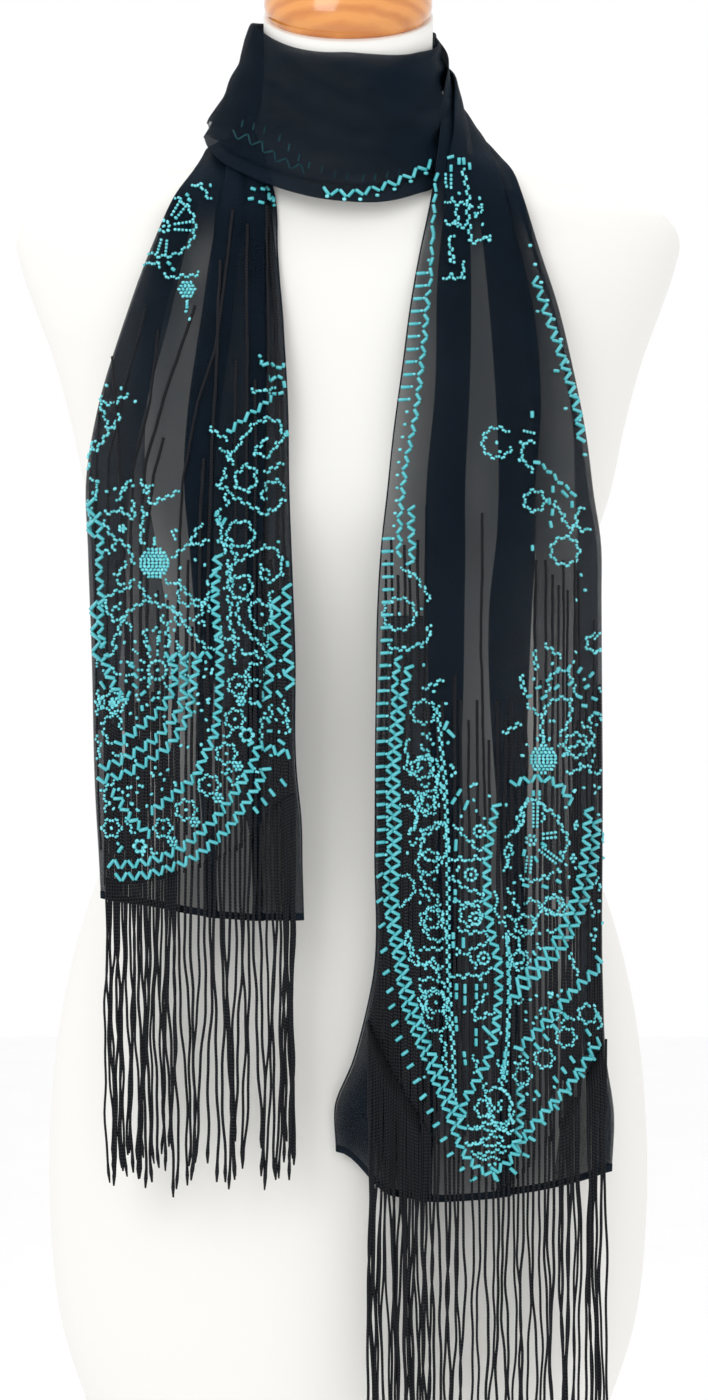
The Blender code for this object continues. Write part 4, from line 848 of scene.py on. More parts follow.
def finer(rows):
    """The rows again on smooth curves, and how far up the cloth each of them lies."""
    along = length_along(rows[:, 1])
    climb = along[-1] - CLIMB_LENGTH
    at = np.concatenate([
        np.linspace(0, climb, round(climb / HANG_STEP) + 1)[:-1],
        np.linspace(climb, along[-1], round(CLIMB_LENGTH / CLIMB_STEP) + 1),
    ])
    made = np.stack([
        np.stack([smooth(at, along, rows[:, p, axis]) for axis in range(3)], -1) for p in range(3)
    ], 1)
    return made, at


def normals_of(grid):
    """Unit normals of a grid of points: forwards on the chest, outwards and upwards at the neck."""
    normal = unit(np.cross(np.gradient(grid, axis=1), np.gradient(grid, axis=0)))
    away = unit(grid * (1, 1, 0))
    away[..., 2] = 1.5 * ease(grid[..., 2], 1.33, 1.38)
    side = np.sign((normal * away).sum(axis=2, keepdims=True))
    return normal * np.where(side == 0, 1, side)


def cloth_uv(grid, along):
    """(across, along) in metres of cloth for each point of a grid whose rows lie at lengths along it."""
    steps = np.linalg.norm(np.diff(grid, axis=1), axis=2)
    across = np.concatenate([np.zeros((len(grid), 1)), np.cumsum(steps, 1)], 1)
    return np.stack([across, np.repeat(along[:, None], grid.shape[1], 1)], -1)


TIP_TURNS = np.radians([-54, -18, 18, 54])


def pleated(first, first_wide, second, second_wide, under, tip):
    """Columns of a pleated strip as (share across, layers up). The path runs out along the under layer
    to the first pleat's edge, back and out again through its three layers, over to the second pleat,
    through that the other way, and round the outer edge, which is turned under. Each fold is a half
    circle one layer high."""
    l1, r1 = first - first_wide / 2, first + first_wide / 2
    l2, r2 = second - second_wide / 2, second + second_wide / 2
    edge = 1 - under
    runs = (
        (14, (0, r1), (0, 0), 1, 0.5),
        (9, (r1, l1), (1, 1), -1, 1.5),
        (28, (l1, r1, (r1 + l2) / 2, l2, r2), (2, 2, 1.3, 2, 2), 1, 1.5),
        (9, (r2, l2), (1, 1), -1, 0.5),
        (28, (l2, r2, (r2 + edge) / 2, edge, 1 - tip), (0, 0, 0.35, 1, 1), 1, 0.5),
        (9, (1 - tip, edge + tip), (0, 0), 0, 0),
    )
    share, layer = [], []
    for count, places, layers, way, middle in runs:
        at = np.linspace(places[0], places[-1], count)
        share.append(at)
        layer.append(smooth(at, places, layers) if len(places) > 2 else np.full(count, float(layers[0])))
        if way:
            last = layer[-1][-1]
            share.append(places[-1] + way * tip * np.cos(TIP_TURNS))
            layer.append(middle + np.sign(middle - last) * 0.5 * np.sin(TIP_TURNS))
    return np.concatenate(share), np.concatenate(layer)


def ripple(share, along, z, deeper, waves, start, slant, creases, crease_slant, crease_rise, crease_start):
    """Soft waves of a few millimetres that deepen towards the hem, and fine slanting creases. Both are
    sines of the share across and the length along the cloth, and both die away over the shoulder."""
    depth = WAVE_DEPTH + deeper * float(ease(z, 1.20, 0.95))
    soft = depth * (1 + np.sin(2 * np.pi * (waves * share + start) + slant * along / 0.3))
    fine = CREASE_DEPTH * np.sin(2 * np.pi * (creases * share + crease_slant * along)) * (
        np.sin(2 * np.pi * (crease_rise * along + crease_start))
    )
    return (soft + fine) * (1 - float(ease(z, 1.30, 1.345)))


def left_side_flute(share, z):
    """The flute where the hem's inner corner flares out."""
    flare = 1 - float(ease(z, 0.75, 0.85))
    return -0.011 * flare * (1 - ease(share, 0.02, 0.24)) + 0.004 * flare * np.sin(np.pi * share) ** 2


def right_side_dip(share, along):
    """The hem hangs level at the inner side and rises to the outer one."""
    return (1 - ease(along, 0.0, 0.09)) * (0.004 + 0.017 * np.maximum(share - 0.25, 0) ** 1.2)


def left_side_dip(share, along):
    """The hem sags in its middle and lifts at the flared inner corner."""
    sag = -0.009 * np.sin(np.pi * np.clip(share, 0, 1)) ** 1.3
    return (1 - ease(along, 0.0, 0.10)) * (sag + 0.020 * (1 - ease(share, 0.0, 0.22)) + 0.006 * share)


def pleat_sections(pleats, heights, at, width):
    """The pleated section of each row, its folds wandering a little up the cloth."""
    knots = column(pleats, PLEAT_COLUMNS, "z")
    folds = np.stack([
        smooth(heights, knots, column(pleats, PLEAT_COLUMNS, n)) for n in PLEAT_COLUMNS[1:]
    ], -1)
    folds[:, 0] += 0.004 * np.sin(23 * at)
    folds[:, 2] += 0.004 * np.sin(19 * at + 1)
    return [pleated(*fold, FOLD_TIP / w) for fold, w in zip(folds, width)]


def gather_sections(edges, heights, at):
    """A flat ply behind the pleats, between two shares across that change with height."""
    low, high = (smooth(heights, [e[0] for e in edges], [e[k] for e in edges]) for k in (1, 2))
    low, high = low + 0.006 * np.sin(21 * at), high + 0.006 * np.sin(17 * at + 2)
    return [(np.linspace(a, b, PLY_POINTS), np.full(PLY_POINTS, PLY_BEHIND)) for a, b in zip(low, high)]


# What sets each tail's shape. waves are the values that ripple names, in its order
TAILS = {
    "right_side": {
        "rows": tail_rows(RIGHT_SIDE, RIGHT_SIDE_CLIMB, RIGHT_SIDE_TOP, RIGHT_SIDE_TOP_ANGLE),
        "pleats": RIGHT_SIDE_PLEATS, "dip": right_side_dip, "flute": lambda share, z: 0,
        "waves": (0.0022, 2.2, 0.15, 1.5, 7.0, 4.0, 3.1, 0.2),
        "plies": {"inner_ply": RIGHT_SIDE_INNER_PLY, "outer_ply": RIGHT_SIDE_OUTER_PLY},
    },
    "left_side": {
        "rows": tail_rows(LEFT_SIDE, LEFT_SIDE_CLIMB, LEFT_SIDE_TOP, LEFT_SIDE_TOP_ANGLE),
        "pleats": LEFT_SIDE_PLEATS, "dip": left_side_dip, "flute": left_side_flute,
        "waves": (0.0020, 2.0, 0.60, 1.2, 6.0, -3.5, 2.7, 0.4),
        "plies": {
            "inner_ply": LEFT_SIDE_INNER_PLY, "outer_ply": LEFT_SIDE_OUTER_PLY, "hem_ply": LEFT_SIDE_HEM_PLY,
        },
    },
}


def tail_grid(side, ply=None):
    """Grid of a side's tail, or of one of its plies: rows from the hem up and columns along its section,
    with (across, along) in metres of cloth for each point."""
    tail = TAILS[side]
    made, at = finer(tail["rows"])
    heights = made[:, 1, 2]
    if ply:
        edges = tail["plies"][ply]
        kept = (heights >= edges[0][0] - 0.004) & (heights <= edges[-1][0] + 0.004)
        made, at, heights = made[kept], at[kept], heights[kept]
        sections = gather_sections(edges, heights, at)
    else:
        width = np.linalg.norm(made[:, 2] - made[:, 0], axis=1)
        sections = pleat_sections(tail["pleats"], heights, at, width)
    spacing = LAYER + (LAYER_AT_NECK - LAYER) * ease(heights, 1.31, 1.36)
    places = np.linspace(0, 1, SAMPLES)
    normal = normals_of(np.array([row_points(*three, places) for three in made]))
    grid = np.array([row_points(*three, share) for three, (share, _) in zip(made, sections)])
    for i, (share, layer) in enumerate(sections):
        grid[i, :, 2] += tail["dip"](share, at[i])
        waves = ripple(share, at[i], heights[i], *tail["waves"]) + tail["flute"](share, heights[i])
        lift = layer * spacing[i] + waves
        for axis in range(3):
            grid[i, :, axis] += np.interp(share, places, normal[i, :, axis]) * lift
    return grid, cloth_uv(grid, at)


def doubled_section():
    """Columns of cloth folded double: down the outside from its fold, and down the inside to the edge."""
    turns = np.radians([60, 20, -20, -60])
    share = np.concatenate([
        np.linspace(0.90, 0.02, FOLD_POINTS), 0.02 - 0.022 * np.cos(turns),
        np.linspace(0.02, 1.0, FOLD_POINTS),
    ])
    layer = np.concatenate([np.ones(FOLD_POINTS), 0.5 + 0.5 * np.sin(turns), np.zeros(FOLD_POINTS)])
    return share, layer


def single_section():
    return np.linspace(0, 1, 24), np.zeros(24)


def wrap_crease(share, angle):
    """Soft slanting rolls across the winding: ridges that run down to one side, and a roll at the top
    that deepens towards the wearer's left."""
    fade = np.sin(np.pi * np.clip(share, 0, 1)) ** 0.8
    swoop = 0.0034 * np.exp(-(((share - 0.46 - 0.0040 * (angle - 10)) / 0.09) ** 2))
    lower = 0.0024 * np.exp(-(((share - 0.74 + 0.0020 * (angle + 10)) / 0.07) ** 2))
    roll = 0.0036 * np.exp(-(((share - 0.16 - 0.0020 * (angle - 40)) / 0.075) ** 2))
    roll = roll * float(ease(angle, -10, 45))
    fine = 0.0007 * np.sin(2 * np.pi * (3.4 * share + 0.018 * angle)) * np.sin(0.07 * angle + 1)
    return fade * (swoop + lower + roll + fine)


def wrap_grid(table, section):
    """Grid of a stretch wound round the neck: at each angle a parabola through the upper edge, the
    middle and the lower edge, lifted off it by the layers of the section and by the creases."""
    angles = column(table, WRAP_COLUMNS, "angle")
    turn = 1 if angles[-1] > angles[0] else -1
    first, last = angles[0] + turn * SEAM_TURN, angles[-1] - turn * SEAM_TURN
    at = np.linspace(first, last, round(abs(last - first) / WRAP_STEP) + 1)
    values = {n: smooth(turn * at, turn * angles, column(table, WRAP_COLUMNS, n)) for n in WRAP_COLUMNS[1:]}
    share, layer = section
    fine = np.linspace(0, 1, SAMPLES)
    rows = []
    for i, angle in enumerate(at):
        three = [np.array((values["r_" + p][i], values["z_" + p][i])) for p in ("top", "middle", "low")]
        line = row_points(*three, share)
        slope = np.gradient(row_points(*three, fine), axis=0)
        slope = unit(np.stack([np.interp(share, fine, slope[:, k]) for k in (0, 1)], -1))
        lift = layer * LAYER + wrap_crease(share, angle) * (layer > 0.5)
        r = line[:, 0] - slope[:, 1] * lift
        z = line[:, 1] + slope[:, 0] * lift
        rows.append(polar(np.full(len(r), angle), r, z))
    grid = np.array(rows)
    return grid, cloth_uv(grid, length_along(grid[:, 0]))


def cloth_piece(name, grid, uv, *nodes, gathered_and_shade=None):
    """A thin shell about a grid of points, in place of the solid of the same stretch of cloth. Where the
    cloth is bunched, as a tail is towards the neck, its fine gathers stop more of the light. The values
    given for the throat band hold painted shade in the same way."""
    obj = grid_mesh(name, grid, chiffon(), uv=uv)
    gather_and_shade = obj.data.attributes.new("gather_and_shade", "FLOAT", "POINT")
    if gathered_and_shade is None:
        gathered_and_shade = ease(grid[..., 2], 1.305, 1.355)
    bunched_and_shade = np.broadcast_to(gathered_and_shade, grid.shape[:2])
    gather_and_shade.data.foreach_set("value", bunched_and_shade.ravel().astype(np.float32))
    shell = obj.modifiers.new("thickness", "SOLIDIFY")
    shell.thickness = bpy.context.scene.stole_cloth.thickness
    shell.offset = 0
    return placed(obj, "chiffon", *nodes)


def band_opacity_and_painted_shade(grid):
    """Painted shade on the doubled band, given as a rise in its opacity at each point: most in the hollow
    below its roll at the wearer's left and in a soft line under each slanting roll. The opacity also rises
    where a single layer shows at the lower edge."""
    share, layer = doubled_section()
    angle = np.linspace(BAND[0][0], BAND[-1][0], len(grid))[:, None]
    # painted shade: a darker hollow below the roll, towards the wearer's left
    below_roll = np.exp(-(((share - 0.20 - 0.0016 * (40 - angle)) / 0.10) ** 2))
    hollow_shade = 0.42 * ease(angle, 12, 40) + 0.45 * below_roll * ease(angle, 6, 26)
    # painted shade: soft dark lines along the shadow side of the slanting rolls
    roll_shade_lines = sum(
        deep * np.exp(-(((share - at - slant * angle) / wide) ** 2)) * ease(angle, *reach)
        for deep, at, slant, wide, reach in (
            (0.34, 0.50, 0.0040, 0.045, (-75, -40)), (0.30, 0.66, 0.0012, 0.060, (-60, -20)),
            (0.26, 0.30, 0.0050, 0.040, (-70, -45)), (0.28, 0.83, -0.0020, 0.050, (-76, -50)),
            (0.30, 0.10, 0.0030, 0.045, (-30, 10)),
        )
    )
    fine = 0.10 * np.sin(2 * np.pi * (4.2 * share + 0.021 * angle)) * np.sin(0.06 * angle + 0.6)
    outer = np.clip(hollow_shade + roll_shade_lines + fine, 0, 0.9) * (layer > 0.5)
    return outer + (layer <= 0.5) * 0.85 * ease(share, 0.86, 0.91)


def nodes_of(material):
    material.use_nodes = True
    return material.node_tree, material.node_tree.nodes["Principled BSDF"]


def add(tree, kind, *pairs):
    """A node of a kind. Each pair names an input or a setting of the node, and gives its value or the
    socket that is joined to it."""
    node = tree.nodes.new("ShaderNode" + kind)
    for name, value in pairs:
        if isinstance(value, bpy.types.NodeSocket):
            tree.links.new(value, node.inputs[name])
        elif isinstance(name, int) or name in node.inputs:
            node.inputs[name].default_value = value
        else:
            setattr(node, name, value)
    return node


def maths(tree, operation, *values):
    """The result of a sum on two or three numbers or sockets."""
    return add(tree, "Math", ("operation", operation), *enumerate(values)).outputs[0]


def coloured(tree, shader, fac, low, high, low_colour, high_colour):
    """Gives the shader a colour between two, by how far a value lies between low and high."""
    node = add(tree, "ValToRGB", ("Fac", fac))
    for stop, place, colour in zip(node.color_ramp.elements, (low, high), (low_colour, high_colour)):
        stop.position, stop.color = place, (*colour, 1)
    tree.links.new(node.outputs["Color"], shader.inputs["Base Color"])


def scaled(colour, *shares):
    """A colour made darker or lighter, by one share or by one for each channel."""
    return tuple(c * k for c, k in zip(colour, shares * 3))


def bump(tree, shader, height, strength, distance):
    node = add(tree, "Bump", ("Strength", strength), ("Distance", distance), ("Height", height))
    tree.links.new(node.outputs["Normal"], shader.inputs["Normal"])


def object_noise(tree, scale, detail=3.0, rough=0.5):
    place = add(tree, "TexCoord").outputs["Object"]
    return add(tree, "TexNoise", ("Scale", scale), ("Detail", detail), ("Roughness", rough),
               ("Vector", place)).outputs["Fac"]


def found(name):
    """A material by its name, and whether it was there already."""
    there = bpy.data.materials.get(name)
    return (there, True) if there else (bpy.data.materials.new(name), False)


def chiffon():
    """Sheer crepe chiffon: one opacity for every layer, rising where the cloth is bunched and, on the
    throat band, where shade is painted in; a crossed weave on the cloth's own UV, and a faint unevenness
    in colour."""
    look = bpy.context.scene.stole_cloth
    material, made = found("crepe_chiffon")
    if made:
        return material
    tree, shader = nodes_of(material)
    shader.inputs["Roughness"].default_value = 0.62
    shader.inputs["Specular IOR Level"].default_value = 0.05
    gather_and_shade = add(tree, "Attribute", ("attribute_name", "gather_and_shade")).outputs["Fac"]
    # opacity rises with the attribute: for bunched cloth, and for painted shade on the throat band
    stopped = add(tree, "MapRange", ("To Min", look.opacity), ("To Max", 0.9), ("Value", gather_and_shade))
    tree.links.new(stopped.outputs["Result"], shader.inputs["Alpha"])
    coloured(tree, shader, object_noise(tree, 45), 0.3, 0.7, scaled(look.colour, 0.75), look.colour)
    uv = add(tree, "TexCoord").outputs["UV"]
    weave = [
        add(tree, "TexWave", ("bands_direction", way), ("Scale", 2 * math.pi / 20 / look.thread_pitch),
            ("Distortion", 1.5), ("Detail", 1.0), ("Vector", uv)).outputs["Fac"]
        for way in ("X", "Y")
    ]
    crepe = maths(tree, "ADD", maths(tree, "MAXIMUM", *weave), object_noise(tree, 900, 2))
    bump(tree, shader, crepe, 0.28, 0.00012)
    return material


def cord_finish():
    """Black chain-stitched cord: slanting links along the cord's own length, their crowns lit grey by a
    painted highlight.
    """
    look = bpy.context.scene.stole_cords
    material, made = found("chain_stitched_cord")
    if made:
        return material
    tree, shader = nodes_of(material)
    shader.inputs["Roughness"].default_value = 0.55
    shader.inputs["Specular IOR Level"].default_value = 0.12
    parts = add(tree, "SeparateXYZ", ("Vector", add(tree, "TexCoord").outputs["UV"])).outputs
    slant = maths(tree, "ADD", parts["X"], maths(tree, "MULTIPLY", parts["Y"], 1 / look.link_length))
    wave = maths(tree, "PINGPONG", slant, 0.5)
    # painted highlight: the crown of each link is made a lighter grey
    coloured(tree, shader, wave, 0.24, 0.50, scaled(look.colour, 0.5), scaled(look.colour, 4.5))
    bump(tree, shader, wave, 0.9, 0.0005)
    return material


def bead_finish():
    """Opaque turquoise glass, glossy, each bead a little lighter or darker at random; the seeds are paler,
    a painted highlight for their glints.
    """
    look = bpy.context.scene.stole_beads
    material, made = found("turquoise_glass")
    if made:
        return material
    tree, shader = nodes_of(material)
    shader.inputs["Roughness"].default_value = look.roughness
    shader.inputs["Specular IOR Level"].default_value = 0.7
    shader.inputs["Coat Weight"].default_value = 0.6
    shader.inputs["Coat Roughness"].default_value = 0.08
    tone_and_glint = add(tree, "Attribute", ("attribute_name", "tone_and_glint")).outputs["Fac"]
    # the pale end of the ramp is a painted highlight for the glints of the seeds
    pale = tuple(min(1.0, c * 1.2 + 0.14) for c in look.colour)
    coloured(tree, shader, tone_and_glint, 0.0, 1.0, scaled(look.colour, 0.85), pale)
    bump(tree, shader, object_noise(tree, 700, 2), 0.15, 0.0002)
    return material


def form_finish():
    """White cover with a fine grain, faint wrinkles and a little dirt in soft random mottles."""
    look = bpy.context.scene.stole_form
    material, made = found("form_cover")
    if made:
        return material
    tree, shader = nodes_of(material)
    shader.inputs["Roughness"].default_value = 0.72
    shader.inputs["Specular IOR Level"].default_value = 0.35
    tone = maths(tree, "MULTIPLY", object_noise(tree, 16, 6, 0.6), object_noise(tree, 240, 3))
    coloured(tree, shader, tone, 0.12, 0.34, scaled(look.cover_colour, 0.93), look.cover_colour)
    grain = maths(tree, "MULTIPLY_ADD", object_noise(tree, 420, 4, 0.6), 0.35, object_noise(tree, 55, 6, 0.6))
    bump(tree, shader, grain, 0.9, 0.0045)
    return material


def wood_finish(name, centre, tilt, scale=1.0):
    """Varnished turned wood: growth rings about an axis beside the piece's own, drawn out along it."""
    look = bpy.context.scene.stole_form
    material, made = found(name)
    if made:
        return material
    tree, shader = nodes_of(material)
    shader.inputs["Roughness"].default_value = 0.22
    shader.inputs["Coat Weight"].default_value = 0.8
    shader.inputs["Coat Roughness"].default_value = 0.06
    place = add(tree, "TexCoord").outputs["Object"]
    mapped = add(tree, "Mapping", ("Location", scaled(centre, -1)), ("Rotation", (tilt, 0, 0)),
                 ("Scale", (scale, scale * 0.22, scale)), ("Vector", place)).outputs["Vector"]
    rings = add(tree, "TexWave", ("wave_type", "RINGS"), ("rings_direction", "Y"), ("Scale", 70.0),
                ("Distortion", 1.4), ("Detail", 2.0), ("Detail Scale", 1.2),
                ("Vector", mapped)).outputs["Fac"]
    pores = add(tree, "TexNoise", ("Scale", 900.0), ("Detail", 2.0), ("Vector", mapped)).outputs["Fac"]
    grain = maths(tree, "MULTIPLY_ADD", pores, 0.35, rings)
    coloured(tree, shader, grain, 0.15, 1.1, scaled(look.wood_colour, 0.80, 0.68, 0.55), look.wood_colour)
    bump(tree, shader, grain, 0.08, 0.0006)
    return material


def steel_finish():
    """Satin steel, finely scratched along the pole."""
    material, made = found("pole_steel")
    if made:
        return material
    tree, shader = nodes_of(material)
    shader.inputs["Metallic"].default_value = 1.0
    place = add(tree, "TexCoord").outputs["Object"]
    mapped = add(tree, "Mapping", ("Scale", (1.0, 1.0, 0.03)), ("Vector", place)).outputs["Vector"]
    scratch = add(tree, "TexNoise", ("Scale", 1800.0), ("Detail", 3.0), ("Vector", mapped)).outputs["Fac"]
    coloured(tree, shader, scratch, 0.3, 0.7, (0.48, 0.48, 0.50), (0.66, 0.66, 0.67))
    rough = add(tree, "MapRange", ("To Min", 0.24), ("To Max", 0.42), ("Value", scratch))
    tree.links.new(rough.outputs["Result"], shader.inputs["Roughness"])
    bump(tree, shader, scratch, 0.1, 0.0003)
    return material


EYE = np.array(AIM) + DISTANCE * np.array([0, -math.cos(ELEVATION), math.sin(ELEVATION)])
FORWARD = np.array([0, math.cos(ELEVATION), -math.sin(ELEVATION)])
UPWARD = np.array([0, math.sin(ELEVATION), math.cos(ELEVATION)])
PIXELS = LENS / 1000 / SENSOR * PICTURE_TALL
PLANE_Y = -0.135
FLOOR_HALF, FLOOR_Z = 6, -0.0005


def seen(places):
    """Places of the picture as (x, z) on the upright plane in front of the tails: each line of sight is
    followed from the eye to that plane."""
    places = np.asarray(places, float).reshape(-1, 2)
    way = (
        PIXELS * FORWARD
        + (places[:, :1] - PICTURE_WIDE / 2) * np.array([1.0, 0, 0])
        + (PICTURE_TALL / 2 - places[:, 1:]) * UPWARD
    )
    reach = (PLANE_Y - EYE[1]) / way[:, 1]
    return (EYE + way * reach[:, None])[:, [0, 2]]


def cloth_tree(grid):
    """A search tree of a grid's faces, for dropping beads and cords onto it."""
    return BVHTree.FromPolygons(grid.reshape(-1, 3).tolist(), quads_of(*grid.shape[:2]).tolist())


def dropped(tree, flat, layer=0):
    """Points of the upright plane carried along the line of sight onto the cloth, and the cloth's normals
    there, turned to the eye. layer 1 is the next cloth behind. A place with no cloth is not a number."""
    points, normals = np.full((len(flat), 3), np.nan), np.full((len(flat), 3), np.nan)
    eye = Vector(EYE)
    for i, (x, z) in enumerate(flat):
        way = (Vector((x, PLANE_Y, z)) - eye).normalized()
        start = eye
        for _ in range(layer + 1):
            hit, normal, _, _ = tree.ray_cast(start, way)
            if hit is None:
                break
            start = hit + way * 0.0002
        if hit is not None:
            points[i] = hit
            normals[i] = normal if normal.dot(way) < 0 else -normal
    return points, normals


def steps_along(path, step):
    """Points at even steps along a run of places, and the unit normal to the run at each."""
    along = length_along(path)
    at = np.linspace(0, along[-1], max(2, round(along[-1] / step)) + 1)
    points = np.stack([np.interp(at, along, path[:, k]) for k in (0, 1)], -1)
    way = unit(np.gradient(points, axis=0))
    return points, np.stack([-way[:, 1], way[:, 0]], -1)


def zigzag(path, swing, step):
    """Corners of a zigzag: steps along a run, thrown to either side by half the swing in turn."""
    points, normal = steps_along(path, step)
    return points + normal * (swing / 2 * (-1.0) ** np.arange(len(points)))[:, None]


def around(centre, radius, count):
    angle = 2 * np.pi * np.arange(count) / count
    return centre + np.stack([radius * np.cos(angle), radius * np.sin(angle)], -1)


def star(centre, radius, first, sweep):
    """A star's outline: corners in turn at the full radius and a little inside it."""
    count = 2 * max(6, round(math.pi * radius / STAR_STEP))
    angle = np.radians(first) + np.linspace(0, 2 * np.pi, count + 1)
    keep = angle - angle[0] <= np.radians(sweep) + 1e-6
    reach = np.where(np.arange(count + 1) % 2 == 0, radius, radius - STAR_DEPTH)
    return (centre + np.stack([reach * np.cos(angle), reach * np.sin(angle)], -1))[keep]


def strung(points, kind):
    """Beads laid end to end along each stretch between points: (start, end, kind) of each."""
    length, gap = BEAD_KINDS[kind][0], BUGLE_GAP if kind == "bugle" else SEED_GAP
    made = []
    for a, b in zip(points[:-1], points[1:]):
        reach = np.linalg.norm(b - a)
        count = max(1, round(reach / length))
        trim = min(0.3, gap * count / max(reach, 1e-6))
        for k in range(count):
            start, end = a + (b - a) * k / count, a + (b - a) * (k + 1) / count
            made.append((start + (end - start) * trim, end - (end - start) * trim, kind))
    return made


def single(points, kind, chance=None):
    """Beads one by one at points, lying level or turned at random."""
    half = BEAD_KINDS[kind][0] / 2
    turn = np.zeros(len(points)) if chance is None else chance.uniform(0, np.pi, len(points))
    way = np.stack([np.cos(turn), np.sin(turn)], -1) * half
    return [(p - w, p + w, kind) for p, w in zip(points, way)]


def worm(place, made, chance):
    """A short crooked run of seeds from a place, as far as it meets no bead that is there already."""
    taken = middles(made)
    heading = chance.uniform(0, 2 * np.pi)
    path = [place]
    for turn in range(WORM_BENDS):
        bend = heading + (0.8 if turn % 2 else -0.8) + chance.uniform(-0.3, 0.3)
        step = path[-1] + WORM_STEP * np.array((math.cos(bend), math.sin(bend)))
        if np.linalg.norm(taken - (step + path[-1]) / 2, axis=1).min() < WORM_ROOM:
            break
        path.append(step)
    return strung(np.array(path), "seed") if len(path) > 2 else []


def packed_disc(centre, radius, tip):
    """Seeds in rows that fill a disc, and a few in a line that ends in a tip above or below it."""
    made = []
    rows = round(radius / DISC_ROW)
    for row in range(-rows, rows + 1):
        half = math.sqrt(max(radius**2 - (row * DISC_ROW) ** 2, 0))
        count = round(2 * half / DISC_PITCH)
        for k in range(count):
            made.append(centre + np.array(((k - (count - 1) / 2) * DISC_PITCH, row * DISC_ROW)))
    if tip is not None:
        way = 1 if tip > centre[1] else -1
        for k in range(1, 4):
            made.append(centre + np.array((0, way * (radius + k * DISC_TIP_STEP))))
    return made


def middles(made):
    return np.array([(a + b) / 2 for a, b, _ in made])


def scattered(area, chance):
    """Places at random in an area of the picture, as (x, z): the area is its edges and a count."""
    left, top, right, bottom, count = area
    return seen(np.stack([chance.uniform(left, right, count), chance.uniform(top, bottom, count)], -1))


def worked(table, seed):
    """All the beads of one table, in metres on the upright plane: each as (start, end, kind)."""
    chance = np.random.default_rng(seed)
    made = []
    for swing, step, path in table.get("zigzag", ()):
        made += strung(zigzag(seen(path), swing * ZIGZAG_SWING, step * ZIGZAG_STEP), "bugle")
    for path in table.get("bugle", ()):
        made += strung(seen(path), "bugle")
    for kind, (short, swing, step) in CROOKED.items():
        for path in table.get(kind, ()):
            made += strung(zigzag(seen(path), swing, step) if len(path) > short else seen(path), "seed")
    for px, py, radius, first, sweep in table.get("star", ()):
        made += strung(star(seen((px, py))[0], radius, first, sweep), "seed")
    for px, py, radius in table.get("ring", ()):
        middle = seen((px, py))[0]
        count = max(5, round(2 * math.pi * radius / RING_STEP))
        made += single(around(middle, radius, count), "seed", chance)
        made += single([middle], "seed", chance)
    for px, py, radius, tip in table.get("disc", ()):
        middle = seen((px, py))[0]
        made += single(packed_disc(middle, radius, seen((px, tip))[0][1] if tip else None), "seed", chance)
    for px, py, low, high, first, last, count in table.get("ray", ()):
        middle = seen((px, py))[0]
        for angle in np.radians(90 + np.linspace(first, last, count)):
            way = np.array((math.cos(angle), math.sin(angle)))
            made += strung(np.array([middle + way * low, middle + way * high]), "seed")
    for area in table.get("field", ()):
        taken = middles(made)
        free = [p for p in scattered(area, chance) if np.linalg.norm(taken - p, axis=1).min() > FIELD_ROOM]
        made += single(free, "seed", chance)
    for area in table.get("worm", ()):
        for place in scattered(area, chance):
            made += worm(place, made, chance)
    made += single(seen(table.get("dot", ())), "seed", chance)
    made += single(seen(table.get("rounds", ())), "round")
    if "rungs" in table:
        for x, z in steps_along(seen(table["rungs"]), RUNG_STEP)[0]:
            made += [(np.array((x + a, z)), np.array((x + b, z + RUNG_SLOPE)), kind) for a, b, kind in RUNG]
    made += [(place - DASH, place + DASH, "bugle") for place in seen(table.get("dashes", ()))]
    return made


# A bead along its own axis: (place along, share of the radius) of each ring of a long and a short one,
# and the quads that close its first ring, and its last one in turn
LONG_RINGS = ((-0.50, 0.74), (-0.44, 1.0), (0.44, 1.0), (0.50, 0.74))
SHORT_RINGS = ((-0.50, 0.62), (0.0, 1.0), (0.50, 0.62))
BEAD_SIDES = 6
FIRST_END = np.array(((0, 1, 2, 5), (2, 3, 4, 5)))
LAST_END = np.array(((5, 2, 1, 0), (5, 4, 3, 2)))
# The greatest step between the folds under a bead's ends, the shortest bead, and how its middle is raised
FOLD_STEP, SHORTEST, RAISED = 0.0012, 0.0006, 0.85


